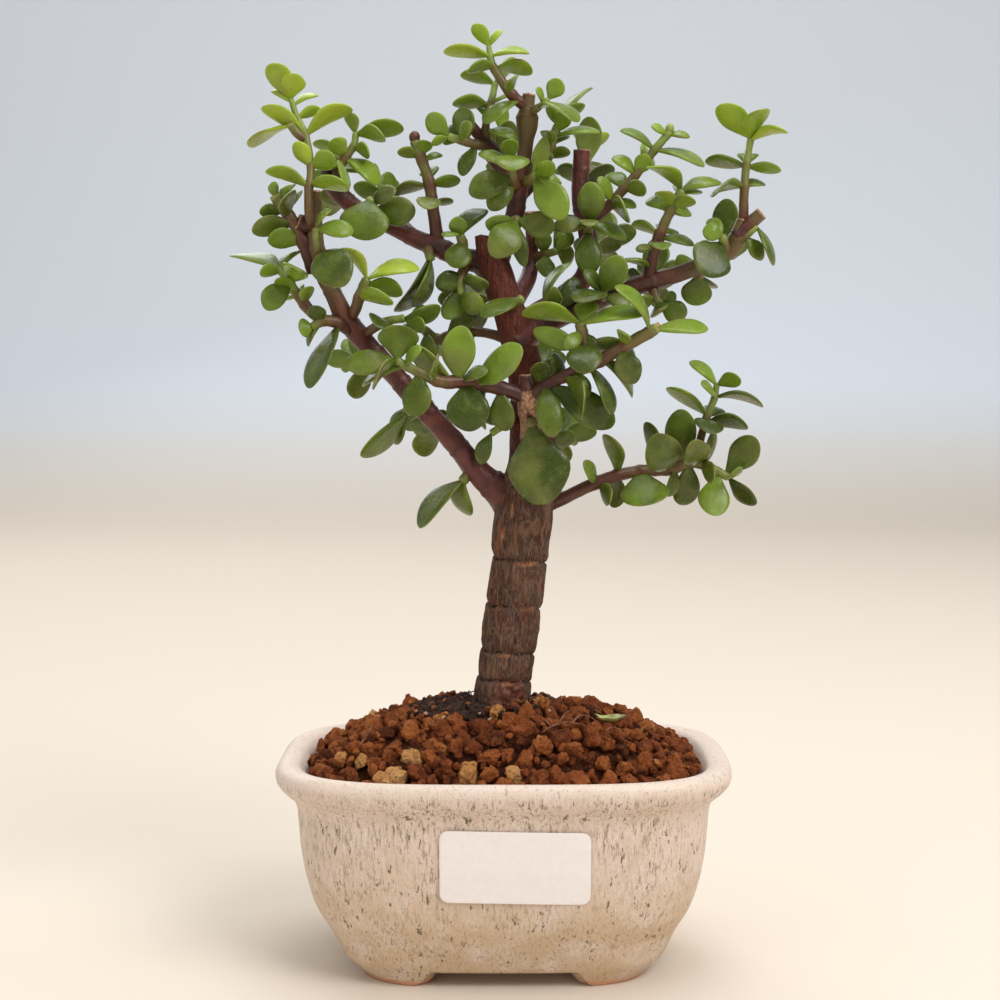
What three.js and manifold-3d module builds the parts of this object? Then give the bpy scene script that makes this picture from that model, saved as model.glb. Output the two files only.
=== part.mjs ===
// A potted dwarf jade bonsai (Portulacaria afra): pot, soil, woody trunk and limbs, and leafy shoots.
// Millimetres, +Z up. The origin is under the middle of the pot, on the surface that its feet stand on.
// The front, where the label is, looks along -Y. The heights in this file are counted from the level of the
// pot's lower edge, FEET_HIGH above the ground, and every mesh is raised by that much at the end.
import * as THREE from 'three';
import { mergeVertices } from 'three/addons/utils/BufferGeometryUtils.js';
import Module from 'manifold-3d';

const wasm = await Module();
wasm.setup();

// Driving sizes
const GAP = 0.3;
const SEED = 7;
const FEET_HIGH = 5;
const EYE = { x: -1.1, distance: 487, z: 172 };

const POT_RATIO = 0.66;
const POT_SQUARENESS = 3.5;
const POT_SIDES = 28;
const POT_OUTSIDE = [[40, 0.8], [43.8, -0.2], [45.8, 2.6], [49.8, 8], [53.6, 14], [56.3, 22], [57.9, 31],
  [58.9, 43], [60, 45.8], [62.8, 48.4], [64.8, 52], [63.9, 55], [61.5, 56]];
const POT_INSIDE = [[57.6, 55], [55.4, 49], [53, 31], [49.5, 18], [41, 5.8]];
const POT_FLOOR = { under: 0.8, top: 5.8 };
const FOOT_CENTRE = { x: 30.8, y: 17.8 };
const FOOT_RINGS = [[-FEET_HIGH, 10.4, 9.2], [-4, 11.8, 10.5], [0, 13.2, 11.4], [6, 13.2, 10.4]];
const FOOT_SQUARENESS = 2.6;
const FOOT_SIDES = 16;
const DRAIN_RADIUS = 7;
const DRAIN_SIDES = 20;

const SCREEN = { side: 24, thick: 1, holes: 3, hole: 5, pitch: 6.8 };
const LABEL = { x: 3, z: 32.6, wide: 41, high: 20.4, corner: 2.4, thick: 0.5, tilt: -0.018 };
const LABEL_ACROSS = [-1, -0.965, -0.88, -0.5, 0, 0.5, 0.88, 0.965, 1];
const LABEL_UP = [-1, -0.5, 0, 0.5, 1];

const SOIL = { wall: 55.4, slack: 0.2, edge: 52.6, rise: 17.6, power: 3.4, rings: 6, grain: 1.3 };
const COLLAR = { x: -1, y: -1, left: 26, right: 17, front: 17, back: 14, sides: 14, rough: 1.6 };
const COLLAR_RINGS = [[62, 0.72], [67, 0.93], [69.8, 1], [71.9, 0.74], [73, 0.36]];
const FALLEN_LEAF = { root: [26, -13, 68.6], tip: [34.5, -15.5, 69.2], wide: 4.6, arch: 0.22 };

// A leaf's greatest thickness, how far its flat underside lies below its middle as a share of half of that,
// and the range of the arch that is drawn for it, as a share of its length.
const LEAF_THICK = 1.9;
const LEAF_UNDER = 0.4;
const LEAF_ARCH = { least: 0.03, range: 0.13 };
// Powers of a leaf's outline. A leaf is at least LEAF_RATIO as wide as long: one that was read narrower, and
// isn't turned FACE_ON degrees or more, is seen at a slant. It starts inside its stem, LEAF_HEEL.out from the
// middle and LEAF_HEEL.back from its place on it.
const LEAF_OUTLINE = { along: 1.3, round: 0.52 };
const LEAF_RATIO = 0.6;
const FACE_ON = 75;
const LARGE_LEAF = 9;
const LARGE_STATIONS = [0.27, 0.62, 0.92];
const SMALL_STATIONS = [0.36, 0.84];
const LEAF_HEEL = { out: 0.3, back: 0.5 };
const STEM_SIDES = 4;
const LIMB_SIDES = 6;

const COLOURS = {
  pot: ['#d8d2bf', 0.45], screen: ['#2c2c2c', 0.6], soil: ['#8a5a38', 0.95], collar: ['#3e2a1e', 0.95],
  wood: ['#8d8172', 0.85], label: ['#f1efe8', 0.7], leaf: ['#5f8f3c', 0.4], fallen: ['#8b8b62', 0.7],
};

// Trunk: height, centre x, radius. Each swollen stretch ends in a bark ring, wider than the foot above it.
const TRUNK = [[34, -0.5, 4], [48, -0.7, 7.5], [62, -0.8, 9], [71, -0.7, 8.3], [76.5, -0.1, 8.5],
  [78, 0, 7.7],
  [84.5, 1, 7.5], [86, 1.1, 8.3], [90.5, 1.8, 8.4], [97, 2.5, 7.7], [98.5, 2.7, 8.5], [105.5, 3.7, 8.3],
  [110.5, 4.4, 7.6], [112, 4.6, 8.4], [117, 4.5, 8.2], [124, 5.6, 8.4], [129, 5.6, 8.7], [135, 7.5, 7.6],
  [140, 8.5, 6.8], [147, 8.3, 6.7], [155, 7.5, 5.6], [165, 6.5, 5.4], [175, 4, 5.2], [182, 2, 5],
  [190, -1, 5.1], [197, -3, 4.7], [201, -4.8, 3.2], [204.5, -6.3, 2.1]];
const TRUNK_SIDES = 11;
const TRUNK_TWIST = 0.25;

// Woody limbs and cut stubs: points x, y, z and radius. x and z are as seen in the plane of the trunk.
const LIMBS = [
  [[1, 0, 130, 4.6], [-6, -1, 135.5, 3.7], [-14.5, -2, 146, 3.2], [-24.5, -3, 157, 3.1], [-33, -4, 167, 3],
    [-40, -5, 174.5, 3], [-44.7, -6, 180.5, 2.9], [-47.5, -7, 186, 2.6], [-51, -8, 193, 2.5],
    [-53, -8, 198.7, 2.4], [-53.5, -8, 204, 2.3], [-53.7, -8, 216.8, 1.9]],
  [[-2, 0, 192, 4], [-6, 1, 196.5, 3.2], [-12, 2, 198, 2.9], [-18.5, 3, 201, 2.9], [-26, 4, 204, 2.5],
    [-33, 5, 207.3, 2.4], [-40, 6, 211, 2.4], [-46.5, 7, 216, 2.6], [-50.5, 8, 221.5, 2.2]],
  [[-3, 1, 192, 4], [-2, 1, 197, 3.4], [1.5, 1, 205, 2.8], [3.3, 0, 211, 2.6], [4.2, 0, 217, 2.5],
    [5.2, 0, 223, 2.4], [6.1, 0, 229, 2], [6.6, 0, 238.5, 2.7], [6.7, 0, 240.2, 2.1], [7.1, 0, 243.7, 1.9]],
  [[4.5, 1, 219, 2.2], [-1, 2, 224, 2.3], [-4, 2, 228.5, 2.4], [-6, 2, 231, 1.7], [-10.4, 2, 236.4, 1.6]],
  [[3, 1, 177, 4], [8, 2, 181, 3.4], [16, 4, 186.5, 3], [23, 6, 193, 2.9], [24.3, 6, 200, 2.7],
    [23.5, 6, 206, 2.6], [21.8, 6, 213, 2.5], [22, 6, 228.3, 2.4]],
  [[4, -1, 174, 4.2], [9, -1, 178, 3.4], [16, -1, 181.5, 3.1], [24, -1, 185, 2.9], [30, 0, 187.6, 2.8],
    [36, 0, 189.6, 2.8], [42, 0, 191.3, 2.7], [50, -1, 193.7, 2.4], [58, -1, 196.7, 2.3], [64, -1, 200, 2.4],
    [67, -2, 205, 2.6], [68, -2, 208.7, 2.1]],
  [[66, -2, 204, 2], [69.5, -3, 207.5, 1.9], [73, -4, 210.6, 1.8]],
  [[8, 0, 143, 3.4], [7.8, -5, 147, 3], [7.5, -8, 151, 2.6], [7, -10, 156, 3], [6.5, -11, 159.5, 2.4],
    [6, -11, 165, 1.6]],
  [[0, 2, 184, 3.6], [5, 8, 189, 2.6], [7.5, 13, 195, 2.2], [8, 14, 201, 1.9], [7.6, 12, 211, 1.7]],
];

// Leafy shoots, each a name, its stem's points (x, y, z, radius) and its leaves. A leaf is its place along
// the stem from 0 to 1, its tip x, y, z, its width, and its turn about its own length in degrees: 0 looks
// along the stem and 90 looks to the front. Rows with one name are one spray. x and z are as seen in the
// plane of the trunk, read off the tree from the front.
const SHOOTS = [
  ['left_tip', [[-53.6, -8.5, 205.5, 1.3], [-55, -12.3, 209, 1.3], [-55.3, -12.5, 216, 1.2],
    [-54.6, -10, 223, 1.1], [-55.3, -8, 229, 1.1], [-56.2, -7, 233, 1], [-58.6, -6, 238, 0.9],
    [-60, -6, 242.5, 0.7]],
  [[0.34, -67.5, -14, 222.3, 5, 25], [0.36, -41, -13, 217.7, 6, 30], [0.49, -59, -12, 230.5, 5, 60],
    [0.49, -48, -14, 226.8, 6, 65], [0.72, -68.5, -7, 239.8, 6, 30], [0.72, -42.6, -6, 239.6, 5.5, 30],
    [0.86, -51.5, -3, 239.4, 4, 30], [0.97, -65.3, -3, 244.8, 3.5, 40], [0.95, -52.2, -4, 243.4, 4, 30],
    [1, -68, -9, 250.7, 7, 62], [1, -55.6, -9, 249.6, 7, 66]]],
  ['left_tip', [[-56, -7.3, 231, 1.2], [-58.2, -7.6, 232.8, 1.3], [-60.2, -7, 235.6, 1.2]],
    [[0.9, -72.6, 3, 236.3, 4.6, 35]]],
  ['left_stub', [[-54, -8, 194, 2], [-55.8, -8.2, 199.5, 1.9], [-59, -8, 207, 1.7], [-62, -7, 211.5, 1.6],
    [-65, -7, 215.7, 1.5]],
  [[0.95, -65.4, -6, 219.5, 3.5, 60], [0.9, -60, -5, 219.8, 3.5, 55], [0.7, -57, -18, 212.6, 3.5, 40],
    [0.78, -69.3, -9, 211, 4.5, 50], [0.6, -71.5, -10, 205.6, 6, 60], [0.35, -67, -13, 203.6, 6.5, 60],
    [0.75, -58, 1, 216.8, 5, 50], [0.4, -60, 3, 203, 6, 20]]],
  ['left_low', [[-46, -6, 180.8, 1.8], [-51, -6, 180.5, 1.7], [-55.5, -6, 183.5, 1.6],
    [-58.5, -6, 187.5, 1.4], [-61, -6, 191, 1.1], [-64, -6, 195, 0.9]],
  [[1, -76, 8, 198.6, 4.5, 35], [0.98, -58.6, 0, 201.6, 4.5, 45], [0.95, -69.3, -11, 194.2, 4.5, 50],
    [0.8, -57, -15, 199.5, 8, 80], [0.78, -68, -10, 183.5, 7.5, 75], [0.6, -64.5, -13, 189, 4, 40],
    [0.5, -55.2, -11.5, 190, 4, 50], [0.6, -60, 5, 188, 7, 10]]],
  ['left_front', [[-52.8, -8.5, 198.7, 1.5], [-52.9, -13.5, 199.8, 1.4], [-53.2, -14.6, 206.3, 1.1]],
    [[0.36, -50.3, -21, 184.8, 12.5, 88], [0.98, -42.6, -16, 205.3, 5.6, 65], [1, -48.8, -16, 211.8, 3, 40]]],
  ['left_under', [[-44, -7, 177.6, 1.8], [-48.3, -9.5, 180, 1.7], [-52, -10.5, 180.2, 1.5],
    [-54.3, -10.5, 178.6, 1.2]],
  [[0.8, -54.2, -14, 184.6, 5.5, 75], [1, -58.5, -13, 178.4, 5.5, 65], [0.72, -61.2, -7, 171.2, 4.6, 50],
    [0.3, -55.5, -16, 161, 6.6, 66]]],
  ['star', [[-43.5, -7, 181.5, 1.7], [-42.3, -9.5, 183.5, 1.6], [-41, -10, 187.5, 1.5], [-39, -10, 192, 1.3]],
  [[1, -47.8, -14, 199, 4.6, 40], [1, -24, -10, 195, 6, 50], [0.85, -28.8, -12, 190, 6, 60],
    [0.55, -32.2, -20, 186.4, 5, 60]]],
  ['star_low', [[-40, -5, 176, 1.5], [-37.5, -8, 178, 1.4], [-34, -9, 180, 1.3], [-28.5, -9, 181, 1.1]],
  [[0.5, -36, -19, 178.5, 8.5, 40], [1, -18, -9, 184.3, 5, 50], [0.98, -21.5, -12, 178.6, 5, 50]]],
  ['limb_leaf_a', [[-25.5, -3, 157.5, 1.6], [-27.8, -5.5, 154.4, 1.4]],
    [[0.9, -41, -6, 141.5, 5.2, 30], [0.9, -32, 4, 146, 6, 60]]],
  ['limb_leaf_b', [[-9, -1.5, 138.5, 1.6], [-11.8, -3, 134.4, 1.4]],
    [[0.9, -24.5, -4, 121, 5.2, 30], [0.9, -11, 6, 125, 6.5, 60]]],
  ['left_high', [[-47.5, 7, 217.5, 1.7], [-47, 5, 222.5, 1.3], [-44.5, 5, 226.5, 1.2],
    [-42.3, 5.5, 229.8, 1.1], [-41.8, 6, 233, 0.8]],
  [[0.97, -33.8, -1, 231.8, 5, 50], [0.98, -28.2, 7, 234.2, 5.5, 50], [0.97, -44.5, 3, 239, 4.4, 40],
    [0.6, -48.8, 1, 231, 6, 70], [0.5, -54, 7, 230, 4, 40], [0.75, -38.2, -1, 227.5, 4.5, 50],
    [0.52, -35.4, 3, 218.6, 5.6, 65], [0.42, -40.4, -6, 221.8, 5, 50], [0.38, -53, 1, 223, 4, 50],
    [0.3, -40, 14, 222, 6, 20]]],
  ['left_round', [[-36.5, 5.5, 209, 1.7], [-37, 0.5, 212, 1.5], [-38, -3, 214.3, 1.2]],
    [[1, -40, -9, 203, 14, 88], [0.45, -25, -2, 211, 8.6, 75], [0.8, -30.5, -5, 217.4, 5, 50]]],
  ['upright_twig', [[-18.5, 3, 201, 2], [-20.3, 3, 213.5, 1.7], [-21, 3, 218.7, 1.6], [-23, 3, 225, 1.5],
    [-25.2, 3, 230.7, 1.5]],
  [[0.84, -30, 0, 228, 4.2, 40], [0.86, -21.5, -1, 230.8, 4.6, 60], [0.8, -17.3, 4, 226.8, 3.4, 40],
    [0.56, -31, 6, 215.8, 4.6, 35], [0.58, -12.3, 2, 220, 5, 40], [0.44, -22, -8, 211.8, 7, 60],
    [0.42, -14.5, 8, 213.5, 4.5, 20], [0.62, -21, 12, 223, 6, 10]]],
  ['limb_front', [[-22, 3.5, 201, 1.7], [-21.2, -0.5, 199.5, 1.4], [-20.8, -1.5, 197.6, 1.2]],
    [[1, -26.2, -5, 184.4, 3.8, 45], [0.8, -31, 3, 182.8, 5, 50]]],
  ['limb_top', [[-12, 1.5, 199.5, 1.6], [-11.6, -2, 202.2, 1.4], [-12.4, -3, 204.3, 1.2]],
  [[0.75, -14, -8, 195.2, 7.8, 80], [1, -13.5, -6, 209.7, 5.3, 85], [1, -17.2, -9, 204.2, 3, 20],
    [1, -5, 9, 206, 4, 40]]],
  ['hanging', [[-10.5, 1, 196.5, 1.6], [-12, -3, 193, 1.4], [-12.3, -4.5, 190.5, 1.2], [-12, -5, 188, 1]],
  [[0.45, -19.4, -6, 190.2, 6.5, 70], [0.8, -17, -8, 181.5, 6.6, 75], [1, -5, -7, 183.8, 6.6, 70],
    [0.6, -5.6, -10.5, 189.6, 4, 50], [1, -11.5, 0, 179.5, 5.5, 50]]],
  ['top_right', [[5.9, -0.5, 240.3, 1.5], [1.5, -2, 244.5, 1.5], [-1, -2.5, 248, 1.3], [-3.3, -2.5, 252, 1.1],
    [-4.3, -2.5, 257, 0.7]],
  [[1, -8.7, -4, 263, 4.6, 60], [1, -0.5, -2, 261.5, 3.2, 40], [0.86, -17, -4, 255.5, 5, 30],
    [0.86, 7.2, -3, 255, 5, 30], [0.7, -10, -9, 250.6, 4, 30], [0.68, 7.3, 4, 251.5, 4.5, 20],
    [0.25, 3.5, -9, 248.5, 3.2, 50], [0.1, -5, -9, 235.5, 5, 60]]],
  ['top_left', [[-4.6, 2.5, 229.8, 1.3], [-5.2, 1, 233, 1.2], [-4.8, 1, 237, 1.1], [-3.5, 3, 242, 1.1],
    [-2.5, 5, 246.5, 0.9]],
  [[1, -12.3, 6, 249, 4.6, 30], [1, 5.5, 10, 252, 5, 40], [0.62, -14.5, -1, 241.3, 5, 30],
    [0.65, 1.5, 6, 243.5, 3.5, 20], [0.2, 3, -6, 231.3, 4.5, 40], [0.4, -6, 12, 240, 6, 10]]],
  ['top_stalk', [[6.6, 0, 238.5, 1.5], [9.5, -2.5, 240, 1], [12.5, -3, 242.3, 0.8]],
    [[1, 15.8, -4, 248, 5.6, 80], [0.5, 20.5, -14, 236, 4.5, 40], [0.8, 9, -9, 245, 3.5, 40]]],
  ['pruned_twig', [[-4, 1.5, 229, 1.5], [-8.5, -2, 230, 1.3], [-12, -3, 231, 1.2], [-15.5, -3, 232, 1]],
  [[1, -22.5, -2, 236.8, 6.5, 60], [0.6, -12.5, -5, 240, 7, 65], [0.75, -9, -10, 235.5, 4.5, 60],
    [1, -20.5, -4, 229.8, 3.5, 30], [0.35, -11.7, -4, 221, 5, 55], [0.7, -13, 6, 236, 6, 20]]],
  ['crown_mid', [[5, 2, 215.5, 1.8], [9.5, 5, 221, 1.7], [12.5, 5, 227, 1.5], [13.7, 4, 231, 1.3],
    [15, 4, 235, 1.1]],
  [[1, 22.8, 2, 241, 4.5, 35], [0.85, 27, 4, 233.3, 5, 30], [0.9, 18.5, -2.5, 240.5, 6, 75],
    [0.95, 24.5, 13, 245, 4, 20], [1, 11, 1, 239, 4, 30], [0.75, 10.4, -2, 233.6, 4, 40],
    [0.6, 10.2, -3, 226.8, 4, 40],
    [0.6, 18.8, 4, 227.8, 4.5, 40], [0.75, 16, 16, 232, 6, 10], [0.45, 14, 15, 222, 6, 20]]],
  ['crown_front', [[4.3, 0, 217.5, 1.7], [2.6, -4.5, 219.5, 1.4], [2.2, -6, 223, 1.2], [2.4, -6.5, 226.2, 1]],
  [[1, 2.2, -17, 222.6, 9.6, 0], [0.5, -9.8, -10, 216, 8.2, 75], [0.75, -8.3, -9, 223.4, 5, 50],
    [0.3, -4.2, -6, 211.6, 6.6, 76], [0.9, -1.4, -9.5, 231.4, 5.6, 76]]],
  ['crown_right', [[4.4, 0, 220, 1.6], [7.5, -4, 220, 1.4], [9, -5.5, 221.2, 1.1]],
  [[0.85, 17.2, -10, 209, 9.2, 85], [1, 15, -7, 219.6, 4.4, 50], [1, 15.2, -12, 224, 4, 50],
    [0.8, 11.8, -5, 232, 4.6, 76], [1, 18.8, -2, 225.2, 4.8, 60]]],
  ['crown_low', [[2.8, 0, 208.5, 1.7], [3.6, -5.5, 208.6, 1.3]],
  [[0.95, -3.3, -12, 198.4, 9.4, 86], [0.8, -5.3, -9.5, 208, 5, 50], [0.7, 5.8, -6, 195.6, 4.6, 80],
    [1, 14.5, -5, 206.5, 7.5, 70]]],
  ['crown_hollow', [[7.8, 13.5, 198, 1.5], [11.5, 11, 199, 1.3], [15, 9, 200, 1]],
  [[0.5, 10.8, 10, 206, 5, 76], [1, 18.5, 10, 206, 5.5, 76], [1, 20.6, 13, 197.5, 6, 76],
    [0.6, 12, 6, 192.6, 5.5, 76], [0.9, 16, 18, 206, 6, 30]]],
  ['right_tall', [[23.2, 4.5, 207.5, 1.7], [30, 3, 213, 1.5], [33.5, 2, 217, 1.4], [37, 1, 221, 1.3],
    [42.3, 0, 228, 1.2], [46.8, -1, 233.3, 1.1]],
  [[0.97, 41.5, -3, 235, 3.6, 35], [0.97, 52.5, -2, 231.8, 3.6, 35], [0.81, 32.7, 0, 233.8, 4.6, 35],
    [0.81, 56.7, -3, 223.6, 5.2, 40], [0.56, 30.5, 1, 226.2, 4.6, 55], [0.56, 40.6, -3, 227, 5, 65],
    [0.42, 30, 9, 221.8, 6, 60], [0.42, 40.2, -5, 217.6, 5, 60], [0.28, 26.6, -1, 220.6, 5, 60],
    [0.28, 37.5, 0, 212.2, 4, 45], [0.25, 34.8, -10, 210.2, 4, 50], [0.65, 40, 11, 229, 6, 0]]],
  ['right_mid', [[24, 5, 204.5, 1.5], [24, 1.5, 206, 1.3], [24.3, -0.5, 207.5, 1.1]],
  [[0.9, 13.8, -2, 206.3, 5.4, 65], [0.9, 35.3, -1, 205.3, 4.5, 35], [0.8, 24.3, -9, 207, 5, 10],
    [1, 24.6, -5, 219.5, 7.8, 88], [0.5, 24.2, -3, 193, 7.8, 88]]],
  ['right_in', [[28, 0, 187, 1.7], [28.2, -4.7, 187.6, 1.3], [28, -6, 188.6, 1.1]],
  [[1, 33.6, -11, 198.6, 8, 85], [0.8, 25.8, -10, 195, 3.6, 60], [0.7, 20.8, -18, 185.6, 4, 50],
    [0.8, 36.4, -5, 192.6, 3, 50], [0.7, 36, -5.5, 184, 4.5, 55]]],
  ['right_arch', [[17, -1, 182, 1.6], [15.5, -5.5, 183.4, 1.3], [11.6, -6.5, 184, 1.1]],
  [[1, 19.2, -6, 196.8, 3, 40], [0.5, 21, -7.5, 192.6, 6, 86], [0.6, 14.4, -11, 191.3, 4.6, 80]]],
  ['right_high', [[41, 0, 192, 1.8], [42, -1, 197, 1.7], [44, -2, 204, 1.6], [45.4, -2, 207.5, 1.5],
    [47.8, -2, 212.5, 1.3], [50.2, -2, 217, 1.1]],
  [[1, 41, -11, 223.4, 4.6, 35], [1, 61.2, 3, 219.4, 5, 40], [0.8, 43.8, -9, 216.6, 4.4, 45],
    [0.8, 54, -8, 214.4, 4.4, 45], [0.74, 41, 6, 214.4, 6.5, 65], [0.74, 52.4, 5, 211.2, 5, 55],
    [0.47, 34.6, -1, 207.8, 4.4, 35], [0.45, 54, -3, 201.6, 4.4, 35], [0.34, 45, -12, 200.4, 6, 30],
    [0.34, 37.4, -3, 200.3, 3.4, 40], [0.12, 30.8, -11, 202.6, 4, 50], [0.5, 47, 9, 205, 6, 10],
    [0.95, 53, 12, 216, 6, 10]]],
  ['far_right', [[67.9, -2, 206, 1.5], [68, -2, 216, 1.3], [68.5, -1, 223.5, 1.1], [69.7, 0, 231.5, 0.9]],
  [[1, 60.3, -4, 240.6, 7, 60], [1, 73.3, -11, 239.6, 6.6, 66], [0.97, 79.8, -5, 235.3, 3.6, 35],
    [0.97, 72.6, 3, 236.6, 3, 40], [0.69, 57, 7, 224.6, 4.4, 30], [0.69, 78.4, -2, 222.4, 4.4, 30],
    [0.46, 58.4, -9, 217.8, 4.6, 40], [0.46, 73.6, 3, 218.8, 4, 40], [0.7, 69, 9, 226, 6, 0]]],
  ['right_round', [[63, -1, 199.5, 1.7], [62.5, -5, 201.8, 1.4], [62, -7, 204, 1.1]],
    [[0.7, 56.2, -13, 193.4, 12, 88], [1, 56.4, -8, 206, 5.5, 65], [1, 58.4, -4, 210, 4.4, 50]]],
  ['right_end', [[66, -2, 202.6, 1.3], [69.5, -3.5, 205, 1.1], [71.6, -4, 206.8, 0.9]],
    [[1, 76.6, -6, 195.8, 3.6, 50], [0.4, 74.4, -3, 198, 5, 65]]],
  ['right_under', [[42.3, 0, 190, 1.5], [43.2, -1.5, 187, 1.3], [44.2, -2, 185.2, 1.1]],
  [[1, 52, -5, 181.6, 6.8, 75], [0.8, 49, 2, 188.6, 4.4, 60], [0.6, 37.4, -3, 184.8, 4.4, 50],
    [0.8, 43.4, -11, 183, 4, 40]]],
  ['right_back', [[55.5, -1, 195, 1.6], [55.5, 2.5, 193, 1.4]],
    [[0.9, 54, 3.5, 184.6, 9, 86], [0.9, 58, 15, 190, 6, 30], [0.9, 49.6, 8, 199, 5.5, 60]]],
  ['front_left', [[5.5, -10.5, 159, 2.3], [0.5, -12, 160.7, 2.1], [-4, -13, 161.7, 1.9],
    [-12.5, -15, 163, 1.8],
    [-18, -17, 163, 1.7], [-22, -18, 164.5, 1.5], [-27, -18, 167, 1.3], [-30.5, -18, 169, 1.1]],
  [[0.5, -12, -19, 179, 9.5, 85], [0.48, -4.5, -20, 166, 3.5, 40], [0.55, -27.3, -14, 173.5, 6, 60],
    [0.38, 5.4, -22, 172.5, 8.5, 70], [0.68, -21.5, -27, 170, 4.5, 40], [0.44, -9.5, -19, 148.7, 12, 88],
    [0.3, -5.5, -9, 149.4, 3.4, 60], [0.18, 0.3, -15, 149, 7, 80], [1, -45.3, -18, 168, 7.5, 70],
    [1, -41.5, -26, 165, 4.5, 60], [1, -30, -21, 180, 11, 85], [0.92, -41, -14, 160.5, 4, 50],
    [0.92, -23.5, -22, 172.8, 4.5, 40], [0.82, -25.5, -20, 153, 8.2, 85], [0.6, -20, -8, 167, 6, 20]]],
  ['front_right', [[7, -10.5, 158.5, 2], [10.5, -12, 161.3, 1.9], [14, -12, 163, 1.8], [20, -13, 165.8, 1.8],
    [27, -14, 168.8, 1.9], [33, -15, 172.3, 1.8], [41, -16, 176.8, 1.7], [44.5, -17, 178.7, 1.3]],
  [[0.92, 31.5, -20, 190, 4.4, 50], [0.95, 58.3, -17, 178, 5.4, 30], [0.7, 37.3, -18, 162.3, 7.6, 85],
    [0.55, 39.2, -9, 160.6, 5, 60], [0.46, 33.4, -18, 155.3, 4.6, 50], [0.36, 23.6, -16.5, 158.4, 5.5, 60],
    [0.28, 26, -25, 154.2, 6, 66], [0.16, 31.6, -8, 150.6, 9.4, 84], [0.14, 14, -20, 147, 7.4, 88],
    [0.12, 8.4, -18, 168.2, 5.6, 80], [0.2, 15, -7, 171, 5, 50], [0.72, 33.5, -22, 177, 4.5, 40],
    [0.72, 36, -5, 172, 6, 20]]],
  ['front_right', [[23.5, -13.5, 167.5, 1.9], [23, -13, 173, 1.8], [21.8, -13, 179.5, 1.4]],
  [[0.98, 5, -14, 182.4, 5.6, 60], [0.98, 40.6, -15, 182.4, 5, 55], [0.5, 23, -24, 165.3, 10, 60],
    [1, 22.5, -6, 186, 7, 40], [0.8, 17.6, -18, 172.4, 4.6, 80], [0.8, 25.8, -17, 172.6, 4.4, 80],
    [0.4, 6.8, -15, 171.2, 6.4, 76], [0.5, 35.6, -11, 174.4, 5, 60]]],
  ['big_front', [[7.4, -8.5, 150.5, 1.8], [8, -13.3, 151, 1.7]], [[0.95, 11.2, -17, 127.6, 16.6, 89]]],
  ['trunk_top', [[2, -3, 184, 1.7], [4, -8.2, 185.8, 1.4], [5.2, -9, 186.5, 1.2]],
    [[1, -6.4, -16, 181.4, 4.4, 65]]],
  ['trunk_left', [[4.5, -3, 152.5, 1.5], [0, -6.8, 150.5, 1.2], [-3.5, -8, 148.3, 1]],
    [[1, -16.2, -9, 141.3, 6.4, 60], [1, -7, -13, 138.5, 5.5, 70], [0.6, -6, -3, 157, 5, 40]]],
  ['back_left', [[1.5, 2, 175, 1.6], [-6, 5, 177, 1.4], [-13, 7, 177, 1.5], [-19, 8, 175, 1.7],
    [-23, 6, 178, 1.2]],
  [[1, -25.5, 2, 185, 6, 60], [0.7, -9, 3, 183, 6.5, 60], [0.4, -9.5, 1, 169.5, 3, 40],
    [1, -31, 9, 176, 6, 20],
    [0.8, -17, 16, 172, 6.5, 20], [0.95, -20, 3, 168, 5.5, 50]]],
  ['right_low', [[12, 1, 127.5, 2.3], [18, 0, 130, 1.9], [25, 0, 133.3, 1.8], [32, 0, 136, 1.8],
    [40, 1, 137.5, 1.7],
    [48, 1, 138, 1.7], [53, 1, 140, 1.6], [58, 0, 139, 1.4], [62, 0, 137, 1.2], [64.5, 0, 135.5, 1]],
  [[0.28, 22.8, -6, 140, 5, 40], [0.3, 30.5, -8, 128.3, 5, 50], [0.4, 29, -4, 148, 5, 60],
    [0.52, 41, -12, 127.5, 14, 88], [0.4, 31, 6, 127, 6, 50], [0.66, 43, -13, 148, 11, 85],
    [0.6, 40.5, 4, 151.5, 5.5, 40], [0.72, 47, -5, 155, 9, 80], [0.8, 51, -9.5, 151.5, 8.5, 80],
    [0.86, 60, -3, 149, 4.5, 40], [0.84, 60.5, -9, 135.5, 5, 60], [0.98, 72.3, -5, 147, 8.7, 75],
    [1, 67.5, -7, 138.5, 4.5, 40], [1, 72.6, -1, 127.7, 4.5, 40], [0.94, 60.5, -7, 124.5, 9, 85],
    [0.78, 51.5, 7, 127.5, 8, 80], [0.7, 47, -1, 130, 4.5, 60]]],
  ['right_low', [[54.5, 1, 139, 1.5], [56.5, 1, 147, 1.2], [58.3, 1, 153.5, 1.1], [60.3, 1, 158.5, 1],
    [60.8, 1, 162, 0.8]],
  [[0.62, 46.6, -1, 161.3, 5, 40], [0.5, 70, -4, 150, 5.8, 50], [0.55, 56, -13, 149, 6.5, 60],
    [0.85, 53.5, -4, 160, 4.5, 50], [1, 67.5, -5, 164, 5.5, 60], [0.85, 74.5, 0, 158.6, 4.2, 35],
    [1, 53, 3, 168.8, 5, 40], [0.6, 61, 11, 155, 6, 10]]],
];

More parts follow.
